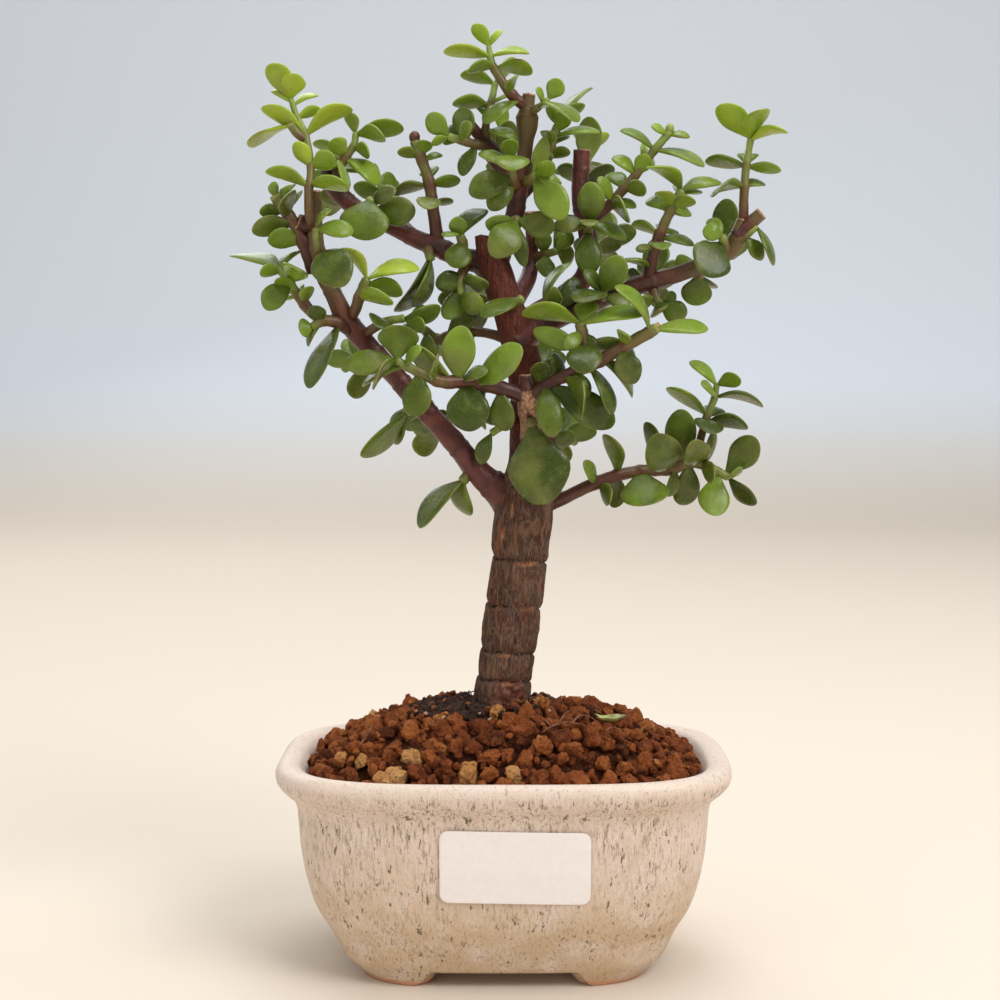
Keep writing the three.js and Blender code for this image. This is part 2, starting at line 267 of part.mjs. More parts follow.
// Shoots at the back of the crown, each its root on a limb, the way it grows and its length. Their pairs of
// leaves follow the plant's own rule, with a seeded draw for the small differences.
const BACK_SHOOTS = [
  [[-24, 5, 203.5], [-0.5, 0.8, 0.45], 30], [[-41, 7, 212], [-0.4, 0.9, 0.25], 27],
  [[4, 1, 214], [-0.15, 0.85, 0.6], 32],
  [[24, 7, 200], [0.25, 0.95, 0.1], 30], [[22, 7, 216], [0.15, 0.85, 0.5], 27],
  [[38, 1, 190.5], [0.3, 0.95, 0.05], 32], [[60, 0, 197.5], [0.25, 0.9, 0.2], 27],
  [[-34, -2, 168], [-0.35, 0.9, -0.1], 34], [[-18, -1, 150], [-0.2, 0.95, -0.1], 30],
  [[8, 4, 166], [0.1, 0.95, -0.05], 32], [[9, 6, 146], [0.35, 0.9, -0.1], 30],
  [[3, 4, 186], [-0.5, 0.85, -0.1], 30],
];
const BACK_LEAVES = {
  spacing: 8.2, start: 0.34, end: 0.98, long: [9, 14], longest: 0.8, size: [0.9, 0.2], wide: 0.56,
  lift: [0.6, 0.3],
};
const BACK_STEM = { radius: [1.6, 0.9], rise: 0.14, places: [0, 0.25, 0.5, 0.75, 1] };

// How a leaf may give way to what is already there: swing and lift in degrees, and its share of full size.
const POSES = [[0, 0, 1], [0, 12, 1], [0, -12, 1], [12, 0, 1], [-12, 0, 1], [0, 25, 1], [0, -25, 1],
  [22, 12, 0.95],
  [-22, 12, 0.95], [22, -12, 0.95], [-22, -12, 0.95], [0, 0, 0.82], [0, 40, 0.85], [0, -40, 0.85],
  [36, 0, 0.85], [-36, 0, 0.85], [0, 15, 0.66], [0, -15, 0.66], [30, 30, 0.66], [-30, 30, 0.66],
  [30, -30, 0.66], [-30, -30, 0.66], [0, 55, 0.66], [0, -55, 0.66]];

// Leaves are held this far clear of each other, tested by balls: SAMPLE.step apart on a leaf, whose foot
// counts as at least SAMPLE.foot wide, and SAMPLE.stemStep apart on a stem. Balls farther from its middle
// than SAMPLE.reach of the leaf's length and SAMPLE.more aren't tested. In one spray, only the balls beyond
// SAMPLE.outer of each leaf's length are. A leaf within END_ON of its stem's way looks to the front.
const CLEAR = 0.4;
const SAMPLE = { step: 2.2, foot: 0.16, stemStep: 1.5, reach: 0.75, more: 2, outer: 0.45 };
const END_ON = 0.3;

const vec = (x, y, z) => new THREE.Vector3(x, y, z);

// A seeded draw between 0 and 1.
function draws(seed) {
  let state = seed >>> 0;
  return () => {
    state = (state + 0x6d2b79f5) >>> 0;
    let t = state;
    t = Math.imul(t ^ (t >>> 15), t | 1);
    t ^= t + Math.imul(t ^ (t >>> 7), t | 61);
    return ((t ^ (t >>> 14)) >>> 0) / 4294967296;
  };
}

// Moves a point read in the plane of the trunk back or forward along its line of sight to its depth y.
function seen(x, y, z) {
  const scale = 1 + y / EYE.distance;
  return vec(EYE.x + (x - EYE.x) * scale, y, EYE.z + (z - EYE.z) * scale);
}

// A closed surface over rings of equal count, with a fan on each end.
function loft(rings) {
  const count = rings[0].length;
  const points = rings.flat();
  const index = [];
  for (let i = 0; i < rings.length - 1; i++) {
    for (let j = 0; j < count; j++) {
      const a = i * count + j;
      const b = i * count + (j + 1) % count;
      index.push(a, b, b + count, a, b + count, a + count);
    }
  }
  const last = (rings.length - 1) * count;
  for (let j = 1; j < count - 1; j++) {
    index.push(0, j + 1, j, last, last + j, last + j + 1);
  }
  const geometry = new THREE.BufferGeometry().setFromPoints(points);
  geometry.setIndex(index);
  return geometry;
}

// The same rings closed on a point at each end, for wide flat ends.
function loftToPoints(start, rings, end) {
  const count = rings[0].length;
  const points = [start, ...rings.flat(), end];
  const index = [];
  for (let i = 0; i < rings.length - 1; i++) {
    for (let j = 0; j < count; j++) {
      const a = 1 + i * count + j;
      const b = 1 + i * count + (j + 1) % count;
      index.push(a, b, b + count, a, b + count, a + count);
    }
  }
  const last = 1 + (rings.length - 1) * count;
  for (let j = 0; j < count; j++) {
    const k = (j + 1) % count;
    index.push(0, 1 + k, 1 + j, points.length - 1, last + j, last + k);
  }
  const geometry = new THREE.BufferGeometry().setFromPoints(points);
  geometry.setIndex(index);
  return geometry;
}

function volumeOf(geometry) {
  const p = geometry.getAttribute('position');
  const index = geometry.getIndex().array;
  let sum = 0;
  for (let i = 0; i < index.length; i += 3) {
    const [a, b, c] = [0, 1, 2].map((k) => vec().fromBufferAttribute(p, index[i + k]));
    sum += a.dot(b.cross(c));
  }
  return sum / 6;
}

function solid(geometry) {
  const bare = geometry.clone();
  bare.deleteAttribute('normal');
  bare.deleteAttribute('uv');
  const merged = mergeVertices(bare, 1e-4);
  const triVerts = Uint32Array.from(merged.getIndex().array);
  if (volumeOf(merged) < 0) triVerts.reverse();
  const vertProperties = Float32Array.from(merged.getAttribute('position').array);
  return new wasm.Manifold(new wasm.Mesh({ numProp: 3, vertProperties, triVerts }));
}

function joined(solids) {
  return solids.reduce((whole, piece) => whole.add(piece));
}

function largest(shape) {
  return shape.decompose().reduce((best, piece) => (piece.volume() > best.volume() ? piece : best));
}

function geometryOf(shape) {
  const mesh = shape.getMesh();
  const geometry = new THREE.BufferGeometry();
  geometry.setAttribute('position', new THREE.BufferAttribute(mesh.vertProperties, 3));
  geometry.setIndex(new THREE.BufferAttribute(mesh.triVerts, 1));
  return geometry;
}

// A round stem through points with a radius each, its rings carried along without twist.
function tube(points, radii, sides) {
  const rings = [];
  let across = null;
  points.forEach((point, i) => {
    const before = points[Math.max(0, i - 1)];
    const after = points[Math.min(points.length - 1, i + 1)];
    const along = after.clone().sub(before).normalize();
    if (!across) across = Math.abs(along.z) < 0.9 ? vec(0, 0, 1) : vec(1, 0, 0);
    across = across.clone().addScaledVector(along, -across.dot(along)).normalize();
    const other = along.clone().cross(across);
    const ring = [];
    for (let j = 0; j < sides; j++) {
      const angle = (2 * Math.PI * j) / sides;
      ring.push(point.clone().addScaledVector(across, radii[i] * Math.cos(angle))
        .addScaledVector(other, radii[i] * Math.sin(angle)));
    }
    rings.push(ring);
  });
  return loft(rings);
}

// A ring with flattened sides: a superellipse of half sizes a and b.
function squareRing(a, b, z, power, sides, centre = { x: 0, y: 0 }) {
  const ring = [];
  for (let j = 0; j < sides; j++) {
    const angle = (2 * Math.PI * j) / sides;
    const c = Math.cos(angle);
    const s = Math.sin(angle);
    ring.push(vec(centre.x + a * Math.sign(c) * Math.abs(c) ** (2 / power),
      centre.y + b * Math.sign(s) * Math.abs(s) ** (2 / power), z));
  }
  return ring;
}

const potRing = ([a, z]) => squareRing(a, a * POT_RATIO, z, POT_SQUARENESS, POT_SIDES);

function pot() {
  const rings = [...POT_OUTSIDE, ...POT_INSIDE].map(potRing);
  let shape = solid(loftToPoints(vec(0, 0, POT_FLOOR.under), rings, vec(0, 0, POT_FLOOR.top)));
  for (const [sx, sy] of [[-1, -1], [1, -1], [1, 1], [-1, 1]]) {
    const centre = { x: sx * FOOT_CENTRE.x, y: sy * FOOT_CENTRE.y };
    const foot = FOOT_RINGS.map(([z, a, b]) => squareRing(a, b, z, FOOT_SQUARENESS, FOOT_SIDES, centre));
    shape = shape.add(solid(loft(foot)));
  }
  const drain = new THREE.CylinderGeometry(DRAIN_RADIUS, DRAIN_RADIUS, 2 * POT_FLOOR.top, DRAIN_SIDES);
  drain.rotateX(Math.PI / 2);
  drain.translate(0, 0, POT_FLOOR.top);
  return shape.subtract(solid(drain));
}

function drainScreen() {
  const plate = new THREE.BoxGeometry(SCREEN.side, SCREEN.side, SCREEN.thick);
  plate.translate(0, 0, POT_FLOOR.top + GAP + SCREEN.thick / 2);
  let shape = solid(plate);
  const first = -SCREEN.pitch * (SCREEN.holes - 1) / 2;
  for (let i = 0; i < SCREEN.holes; i++) {
    for (let j = 0; j < SCREEN.holes; j++) {
      const hole = new THREE.BoxGeometry(SCREEN.hole, SCREEN.hole, 4 * SCREEN.thick);
      hole.translate(first + i * SCREEN.pitch, first + j * SCREEN.pitch, POT_FLOOR.top);
      shape = shape.subtract(solid(hole));
    }
  }
  return shape;
}

// The height of the soil: flat over the middle, falling to the rim, by its share of the way out.
function soilHeight(x, y) {
  const a = SOIL.wall;
  const share = ((Math.abs(x) / a) ** POT_SQUARENESS
    + (Math.abs(y) / (a * POT_RATIO)) ** POT_SQUARENESS) ** (1 / POT_SQUARENESS);
  return SOIL.edge + SOIL.rise * (1 - Math.min(1, share) ** SOIL.power);
}

function soil(cuts) {
  const random = draws(SEED);
  const inset = GAP + SOIL.slack;
  const bottom = POT_FLOOR.top + GAP;
  const [[foot], ...walls] = POT_INSIDE.slice(1).reverse();
  const edge = SOIL.wall - inset;
  const sides = [[foot - inset, bottom], ...walls.map(([a, z]) => [a - inset, z]), [edge, SOIL.edge]];
  const rings = sides.map(potRing);
  for (let i = 1; i < SOIL.rings; i++) {
    const ring = potRing([edge * (1 - i / SOIL.rings), 0]);
    ring.forEach((point) => {
      point.z = soilHeight(point.x, point.y) + SOIL.grain * (2 * random() - 1);
    });
    rings.push(ring);
  }
  let shape = solid(loftToPoints(vec(0, 0, bottom), rings, vec(0, 0, SOIL.edge + SOIL.rise)));
  for (const cut of cuts) shape = shape.subtract(cut);
  const side = SCREEN.side + 4 * GAP;
  const pocket = new THREE.BoxGeometry(side, side, 2 * (SCREEN.thick + 2 * GAP));
  pocket.translate(0, 0, POT_FLOOR.top + GAP);
  return largest(shape.subtract(solid(pocket)));
}

// The dark peat round the foot of the trunk, wider to the left, with an uneven edge.
function collar(grow) {
  const random = draws(SEED + 1);
  const reach = [];
  for (let j = 0; j < COLLAR.sides; j++) {
    const angle = (2 * Math.PI * j) / COLLAR.sides;
    const a = Math.cos(angle) < 0 ? COLLAR.left : COLLAR.right;
    const b = Math.sin(angle) < 0 ? COLLAR.front : COLLAR.back;
    const rough = COLLAR.rough * (2 * random() - 1);
    reach.push([(a + rough) * Math.cos(angle), (b + rough) * Math.sin(angle)]);
  }
  const rings = COLLAR_RINGS.map(([z, share], i) => reach.map(([x, y]) => {
    const out = share + grow / COLLAR.back;
    const drop = soilHeight(COLLAR.x + x * share, COLLAR.y + y * share) - SOIL.edge - SOIL.rise;
    return vec(COLLAR.x + x * out, COLLAR.y + y * out, z + drop + (i === 0 ? -grow : grow));
  }));
  return solid(loft(rings));
}

function trunkShape(grow) {
  const rings = TRUNK.map(([z, x, r], i) => {
    const ring = [];
    for (let j = 0; j < TRUNK_SIDES; j++) {
      const angle = (2 * Math.PI * (j + TRUNK_TWIST * Math.sin(i))) / TRUNK_SIDES;
      ring.push(vec(x + (r + grow) * Math.cos(angle), (r + grow) * Math.sin(angle), z));
    }
    return ring;
  });
  return solid(loft(rings));
}

const limbPoints = (limb) => limb.map(([x, y, z]) => seen(x, y, z));

function wood(grow) {
  const limbs = LIMBS.map((limb) => solid(tube(limbPoints(limb), limb.map((p) => p[3] + grow), LIMB_SIDES)));
  return joined([trunkShape(grow), ...limbs]);
}

// The y of the front of the pot's wall at x and a height.
function wallFront(x, z) {
  const k = POT_OUTSIDE.findIndex((point, i) => i > 1 && point[1] >= z);
  const [[a0, z0], [a1, z1]] = [POT_OUTSIDE[k - 1], POT_OUTSIDE[k]];
  const a = a0 + (a1 - a0) * (z - z0) / (z1 - z0);
  return -POT_RATIO * a * (1 - (Math.abs(x) / a) ** POT_SQUARENESS) ** (1 / POT_SQUARENESS);
}

// A paper label that follows the wall, as upright slices with rounded corners.
function label() {
  const half = LABEL.wide / 2;
  const rings = LABEL_ACROSS.map((share) => {
    const x = share * half;
    const past = Math.max(0, Math.abs(x) - (half - LABEL.corner));
    const high = LABEL.high / 2 - LABEL.corner + Math.sqrt(LABEL.corner ** 2 - past ** 2);
    const at = (row, out) => {
      const [px, pz] = [LABEL.x + x, LABEL.z + row * high + x * LABEL.tilt];
      return vec(px, wallFront(px, pz) - out, pz);
    };
    return [...LABEL_UP.map((row) => at(row, GAP + LABEL.thick)), ...LABEL_UP.map((row) => at(-row, GAP))];
  });
  return solid(loft(rings));
}

// A leaf's half width as a share of its greatest, from root 0 to tip 1: an egg shape, wide end out.
function leafShape(u) {
  return Math.max(Math.sin(Math.PI * Math.min(1, u) ** LEAF_OUTLINE.along), 0) ** LEAF_OUTLINE.round;
}

function leafPoint(leaf, u, across, up) {
  const rise = leaf.arch * leaf.long * 4 * u * (1 - u);
  return leaf.root.clone().addScaledVector(leaf.along, leaf.long * u)
    .addScaledVector(leaf.face, rise + up).addScaledVector(leaf.side, across);
}

// A leaf as a low ridge over a flat underside. It starts at a point inside its stem.
function leafSolid(leaf, grow) {
  const thick = leaf.thick / 2 + grow;
  const stations = leaf.wide >= LARGE_LEAF ? LARGE_STATIONS : SMALL_STATIONS;
  const rings = stations.map((u) => {
    const wide = (leaf.wide / 2) * leafShape(u) + grow;
    return [leafPoint(leaf, u, wide, -LEAF_UNDER * thick), leafPoint(leaf, u, 0, thick),
      leafPoint(leaf, u, -wide, -LEAF_UNDER * thick)];
  });
  const heel = leaf.root.clone().addScaledVector(leaf.along, LEAF_HEEL.out)
    .addScaledVector(leaf.way, -LEAF_HEEL.back);
  return solid(loftToPoints(heel, rings, leafPoint(leaf, 1 + grow / leaf.long, 0, 0)));
}

// The points that stand for a leaf when it is held clear of others.
function leafSamples(leaf) {
  const rows = Math.max(3, Math.ceil(leaf.long / SAMPLE.step));
  const columns = Math.max(1, Math.ceil(leaf.wide / 2 / SAMPLE.step));
  const samples = [];
  for (let i = 1; i <= rows; i++) {
    const u = i / rows;
    const wide = (leaf.wide / 2) * Math.max(leafShape(u), SAMPLE.foot);
    for (let j = -columns; j <= columns; j++) {
      const at = leafPoint(leaf, u, (wide * j) / columns, 0);
      samples.push({ at, r: leaf.thick / 2, outer: u > SAMPLE.outer });
    }
  }
  return samples;
}

// Turns a leaf about its root: a swing in its own plane, then a lift out of it, and its share of full size.
function posed(leaf, [swing, lift, share]) {
  const turn = THREE.MathUtils.degToRad(swing);
  const tip = THREE.MathUtils.degToRad(lift);
  const along = leaf.along.clone().multiplyScalar(Math.cos(turn)).addScaledVector(leaf.side, Math.sin(turn));
  const side = leaf.side.clone().multiplyScalar(Math.cos(turn)).addScaledVector(leaf.along, -Math.sin(turn));
  const raised = along.clone().multiplyScalar(Math.cos(tip)).addScaledVector(leaf.face, Math.sin(tip));
  const face = leaf.face.clone().multiplyScalar(Math.cos(tip)).addScaledVector(along, -Math.sin(tip));
  return { ...leaf, along: raised, side, face, long: leaf.long * share, wide: leaf.wide * share };
}

function isClear(leaf, name, taken) {
  const samples = leafSamples(leaf);
  const middle = leafPoint(leaf, 0.5, 0, 0);
  for (const other of taken) {
    if (other.at.distanceTo(middle) > leaf.long * SAMPLE.reach + other.r + SAMPLE.more) continue;
    if (other.name === name && !other.outer) continue;
    for (const sample of samples) {
      if (other.name === name && !sample.outer) continue;
      if (other.at.distanceTo(sample.at) < other.r + sample.r + CLEAR) return false;
    }
  }
  return true;
}

// A leaf from its root, tip and seen width, on a stem that runs a given way. Its upper face looks along the
// stem at turn 0 and to the front, or straight away from it, at turn 90. A leaf that is made wider than it
// was read is turned farther from the front, so that it still shows that width.
function leafFrom(root, tip, seenWide, turn, stemWay, arch) {
  const along = tip.clone().sub(root);
  const long = along.length();
  along.normalize();
  const front = vec(0, -1, 0).addScaledVector(along, along.y).normalize();
  const face = stemWay.clone().addScaledVector(along, -stemWay.dot(along));
  if (face.length() < END_ON) face.copy(front);
  face.normalize();
  if (front.dot(face) < 0) front.negate();
  face.applyAxisAngle(along, turnBetween(face, front, along) * (turn / 90));
  const wide = turn < FACE_ON ? Math.max(seenWide, LEAF_RATIO * long) : seenWide;
  const shown = Math.min(1, face.dot(front));
  const farther = Math.acos(shown * seenWide / wide) - Math.acos(shown);
  face.applyAxisAngle(along, turnBetween(face, front, along) > 0 ? -farther : farther);
  const side = along.clone().cross(face).normalize();
  const thick = LEAF_THICK * Math.min(1, 0.55 + wide / 16);
  return { root, along, long, face, side, wide, arch, thick, way: stemWay };
}

// The angle from one way to another about an axis that is square to both.
function turnBetween(from, to, axis) {
  return Math.atan2(axis.dot(from.clone().cross(to)), from.dot(to));
}

// The point and the way of a stem at a share of its length.
function onStem(points, share) {
  const steps = points.slice(1).map((point, i) => point.distanceTo(points[i]));
  let left = share * steps.reduce((sum, step) => sum + step, 0);
  for (let i = 0; i < steps.length; i++) {
    if (left <= steps[i] || i === steps.length - 1) {
      const way = points[i + 1].clone().sub(points[i]).normalize();
      return { at: points[i].clone().lerp(points[i + 1], Math.min(1, left / steps[i])), way };
    }
    left -= steps[i];
  }
  return null;
}

// Balls along a stem, which stand for it when leaves are held clear of it.
function stemBalls(points, radii, name) {
  const balls = [];
  for (let i = 0; i < points.length - 1; i++) {
    const steps = Math.max(1, Math.ceil(points[i].distanceTo(points[i + 1]) / SAMPLE.stemStep));
    for (let k = 0; k <= steps; k++) {
      const share = k / steps;
      balls.push({ at: points[i].clone().lerp(points[i + 1], share), name, outer: false,
        r: radii[i] + (radii[i + 1] - radii[i]) * share });
    }
  }
  return balls;
}

// A shoot at the back, with pairs of leaves, each pair a quarter turn from the one below.
function backShoot([root, way, long], number, random) {
  const start = vec(...root);
  const ahead = vec(...way).normalize();
  const points = BACK_STEM.places.map((share) => {
    const rise = vec(0, 0, BACK_STEM.rise * long * share * share);
    return start.clone().addScaledVector(ahead, long * share).add(rise);
  });
  const [thick, thin] = BACK_STEM.radius;
  const radii = BACK_STEM.places.map((share) => thick + (thin - thick) * share);
  const flat = ahead.clone().cross(vec(0, 0, 1)).normalize();
  const leaves = [];
  const pairs = Math.round(long / BACK_LEAVES.spacing);
  for (let k = 0; k < pairs; k++) {
    const climb = k / (pairs - 1);
    const place = BACK_LEAVES.start + (BACK_LEAVES.end - BACK_LEAVES.start) * climb;
    const stem = onStem(points, place);
    const upright = flat.clone().cross(stem.way).normalize();
    const [short, full] = BACK_LEAVES.long;
    const size = full + (short - full) * Math.abs(2 * climb - BACK_LEAVES.longest);
    for (const sign of [-1, 1]) {
      const reach = size * (BACK_LEAVES.size[0] + BACK_LEAVES.size[1] * random());
      const lift = BACK_LEAVES.lift[0] + BACK_LEAVES.lift[1] * random();
      const out = (k % 2 ? upright : flat).clone().multiplyScalar(sign * Math.cos(lift));
      const tip = stem.at.clone().addScaledVector(out.addScaledVector(stem.way, Math.sin(lift)), reach);
      leaves.push({ place, tip, wide: BACK_LEAVES.wide * reach, turn: 0 });
    }
  }
  return { name: `back_${number + 1}`, points, radii, leaves };
}

function allShoots(random) {
  const front = SHOOTS.map(([name, stem, leaves]) => ({
    name, points: limbPoints(stem), radii: stem.map((p) => p[3]),
    leaves: leaves.map(([place, x, y, z, wide, turn]) => ({ place, tip: seen(x, y, z), wide, turn })),
  }));
  const back = BACK_SHOOTS.map((row, i) => backShoot(row, i, random));
  return [...front, ...back];
}

// Settles every leaf clear of the wood, the stems and the leaves before it. One with no room is left off.
function settledShoots() {
  const random = draws(SEED + 2);
  const shoots = allShoots(random);
  const taken = [];
  taken.push(...stemBalls(TRUNK.map(([z, x]) => vec(x, 0, z)), TRUNK.map((row) => row[2]), 'wood'));
  for (const limb of LIMBS) taken.push(...stemBalls(limbPoints(limb), limb.map((p) => p[3]), 'wood'));
  for (const shoot of shoots) taken.push(...stemBalls(shoot.points, shoot.radii, shoot.name));
  for (const shoot of shoots) {
    shoot.settled = [];
    for (const { place, tip, wide, turn } of shoot.leaves) {
      const stem = onStem(shoot.points, place);
      const arch = LEAF_ARCH.least + LEAF_ARCH.range * random();
      const leaf = leafFrom(stem.at, tip, wide, turn, stem.way, arch);
      const pose = POSES.find((choice) => isClear(posed(leaf, choice), shoot.name, taken));
      if (!pose) continue;
      const settled = posed(leaf, pose);
      shoot.settled.push(settled);
      taken.push(...leafSamples(settled).map((sample) => ({ ...sample, name: shoot.name })));
    }
  }
  return shoots;
}

function sprayShape(rows, grow) {
  const parts = [];
  for (const row of rows) {
    parts.push(solid(tube(row.points, row.radii.map((r) => r + grow), STEM_SIDES)));
    for (const leaf of row.settled) parts.push(leafSolid(leaf, grow));
  }
  return joined(parts);
}

// Every spray, cut clear of the wood and of any spray before it that it would still touch.
function sprays(woodGrown) {
  const shoots = settledShoots();
  const names = [...new Set(shoots.map((shoot) => shoot.name))];
  const grown = [];
  return names.map((name) => {
    const rows = shoots.filter((shoot) => shoot.name === name);
    let shape = sprayShape(rows, 0).subtract(woodGrown);
    for (const other of grown) {
      if (shape.intersect(other).volume() > 0) shape = shape.subtract(other);
    }
    grown.push(sprayShape(rows, GAP));
    return [name, largest(shape)];
  });
}

function fallenLeaf(grow) {
  const { root, tip, wide, arch } = FALLEN_LEAF;
  const leaf = leafFrom(vec(...root), vec(...tip), wide, 0, vec(0, 0, 1), arch);
  return leafSolid(leaf, grow);
}

function addMesh(group, name, shape, look) {
  const [color, roughness] = COLOURS[look];
  const raised = geometryOf(shape.translate(0, 0, FEET_HIGH));
  const mesh = new THREE.Mesh(raised, new THREE.MeshStandardMaterial({ color, roughness, metalness: 0 }));
  mesh.name = name;
  group.add(mesh);
}

const bonsai = new THREE.Group();
const woodGrown = wood(GAP);
addMesh(bonsai, 'pot', pot(), 'pot');
addMesh(bonsai, 'drain_screen', drainScreen(), 'screen');
addMesh(bonsai, 'soil', soil([trunkShape(GAP), collar(GAP), fallenLeaf(GAP)]), 'soil');
addMesh(bonsai, 'peat_collar', largest(collar(0).subtract(trunkShape(GAP))), 'collar');
addMesh(bonsai, 'wood', wood(0), 'wood');
addMesh(bonsai, 'label', label(), 'label');
addMesh(bonsai, 'fallen_leaf', fallenLeaf(0), 'fallen');
for (const [name, shape] of sprays(woodGrown)) addMesh(bonsai, `shoot_${name}`, shape, 'leaf');

export default bonsai;
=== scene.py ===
"""The looks of a potted dwarf jade bonsai: glazed pot, clay soil, ringed trunk, limbs and fleshy leaves.

Sizes are in millimetres, and heights are counted from the level of the pot's lower edge, FEET_HIGH above the
ground, as in the part's source. make_piece turns both into metres above the ground.
"""

import logging
import math
from dataclasses import dataclass, field
from enum import Enum

import bpy
import numpy as np
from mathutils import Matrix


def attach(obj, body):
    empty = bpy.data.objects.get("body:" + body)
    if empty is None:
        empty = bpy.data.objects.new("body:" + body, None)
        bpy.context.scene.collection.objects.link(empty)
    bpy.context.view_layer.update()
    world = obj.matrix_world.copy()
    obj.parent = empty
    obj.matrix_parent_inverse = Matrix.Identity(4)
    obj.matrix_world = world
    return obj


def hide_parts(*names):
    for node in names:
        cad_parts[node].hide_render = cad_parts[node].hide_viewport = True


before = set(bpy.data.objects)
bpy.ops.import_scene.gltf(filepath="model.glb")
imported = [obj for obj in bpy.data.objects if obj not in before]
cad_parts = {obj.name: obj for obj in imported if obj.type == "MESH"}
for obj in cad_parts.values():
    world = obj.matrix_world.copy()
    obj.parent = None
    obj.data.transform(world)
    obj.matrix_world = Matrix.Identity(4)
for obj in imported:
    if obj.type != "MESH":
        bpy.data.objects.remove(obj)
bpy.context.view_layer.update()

LOG = logging.getLogger("bonsai")
Array, Socket, Material = np.ndarray, bpy.types.NodeSocket, bpy.types.Material
MM = 0.001
FEET_HIGH = 5.0
SEED = 7
# The camera's eye: its x, its distance in front of the trunk and its height.
EYE_X, EYE_DISTANCE, EYE_Z = -1.1, 487.0, 172.0
# The rule that settles leaves: distances between the balls that stand for a leaf and for a stem, and the gap
# that is kept between leaves of different shoots.
LEAF_STEP, STEM_STEP, LEAF_GAP = 2.2, 1.5, 0.4
# A leaf is at least this wide for its length. Above SLANT degrees of turn it is taken as wide as it looks.
LEAF_RATIO, SLANT = 0.6, 75
UP = np.array([0.0, 0.0, 1.0])
FRONT = np.array([0.0, -1.0, 0.0])

# Trunk: height, centre x, radius. Each swollen stretch ends in a bark ring, wider than the foot above it.
TRUNK = [
  [34, -0.5, 4], [48, -0.7, 7.5], [62, -0.8, 9], [71, -0.7, 8.3], [76.5, -0.1, 8.5], [78, 0, 7.7], [84.5, 1, 7.5],
  [86, 1.1, 8.3], [90.5, 1.8, 8.4], [97, 2.5, 7.7], [98.5, 2.7, 8.5], [105.5, 3.7, 8.3], [110.5, 4.4, 7.6],
  [112, 4.6, 8.4], [117, 4.5, 8.2], [124, 5.6, 8.4], [129, 5.6, 8.7], [135, 7.5, 7.6], [140, 8.5, 6.8],
  [147, 8.3, 6.7], [155, 7.5, 5.6], [165, 6.5, 5.4], [175, 4, 5.2], [182, 2, 5], [190, -1, 5.1], [197, -3, 4.7],
  [201, -4.8, 3.2], [204.5, -6.3, 2.1],
]

# Woody limbs and cut stubs: points x, y, z and radius. x and z are as seen in the plane of the trunk.
LIMBS = [
  [[1, 0, 130, 4.6], [-6, -1, 135.5, 3.7], [-14.5, -2, 146, 3.2], [-24.5, -3, 157, 3.1], [-33, -4, 167, 3],
    [-40, -5, 174.5, 3], [-44.7, -6, 180.5, 2.9], [-47.5, -7, 186, 2.6], [-51, -8, 193, 2.5], [-53, -8, 198.7, 2.4],
    [-53.5, -8, 204, 2.3], [-53.7, -8, 216.8, 1.9]],
  [[-2, 0, 192, 4], [-6, 1, 196.5, 3.2], [-12, 2, 198, 2.9], [-18.5, 3, 201, 2.9], [-26, 4, 204, 2.5],
    [-33, 5, 207.3, 2.4], [-40, 6, 211, 2.4], [-46.5, 7, 216, 2.6], [-50.5, 8, 221.5, 2.2]],
  [[-3, 1, 192, 4], [-2, 1, 197, 3.4], [1.5, 1, 205, 2.8], [3.3, 0, 211, 2.6], [4.2, 0, 217, 2.5], [5.2, 0, 223, 2.4],
    [6.1, 0, 229, 2], [6.6, 0, 238.5, 2.7], [6.7, 0, 240.2, 2.1], [7.1, 0, 243.7, 1.9]],
  [[4.5, 1, 219, 2.2], [-1, 2, 224, 2.3], [-4, 2, 228.5, 2.4], [-6, 2, 231, 1.7], [-10.4, 2, 236.4, 1.6]],
  [[3, 1, 177, 4], [8, 2, 181, 3.4], [16, 4, 186.5, 3], [23, 6, 193, 2.9], [24.3, 6, 200, 2.7], [23.5, 6, 206, 2.6],
    [21.8, 6, 213, 2.5], [22, 6, 228.3, 2.4]],
  [[4, -1, 174, 4.2], [9, -1, 178, 3.4], [16, -1, 181.5, 3.1], [24, -1, 185, 2.9], [30, 0, 187.6, 2.8],
    [36, 0, 189.6, 2.8], [42, 0, 191.3, 2.7], [50, -1, 193.7, 2.4], [58, -1, 196.7, 2.3], [64, -1, 200, 2.4],
    [67, -2, 205, 2.6], [68, -2, 208.7, 2.1]],
  [[66, -2, 204, 2], [69.5, -3, 207.5, 1.9], [73, -4, 210.6, 1.8]],
  [[8, 0, 143, 3.4], [7.8, -5, 147, 3], [7.5, -8, 151, 2.6], [7, -10, 156, 3], [6.5, -11, 159.5, 2.4],
    [6, -11, 165, 1.6]],
  [[0, 2, 184, 3.6], [5, 8, 189, 2.6], [7.5, 13, 195, 2.2], [8, 14, 201, 1.9], [7.6, 12, 211, 1.7]],
]

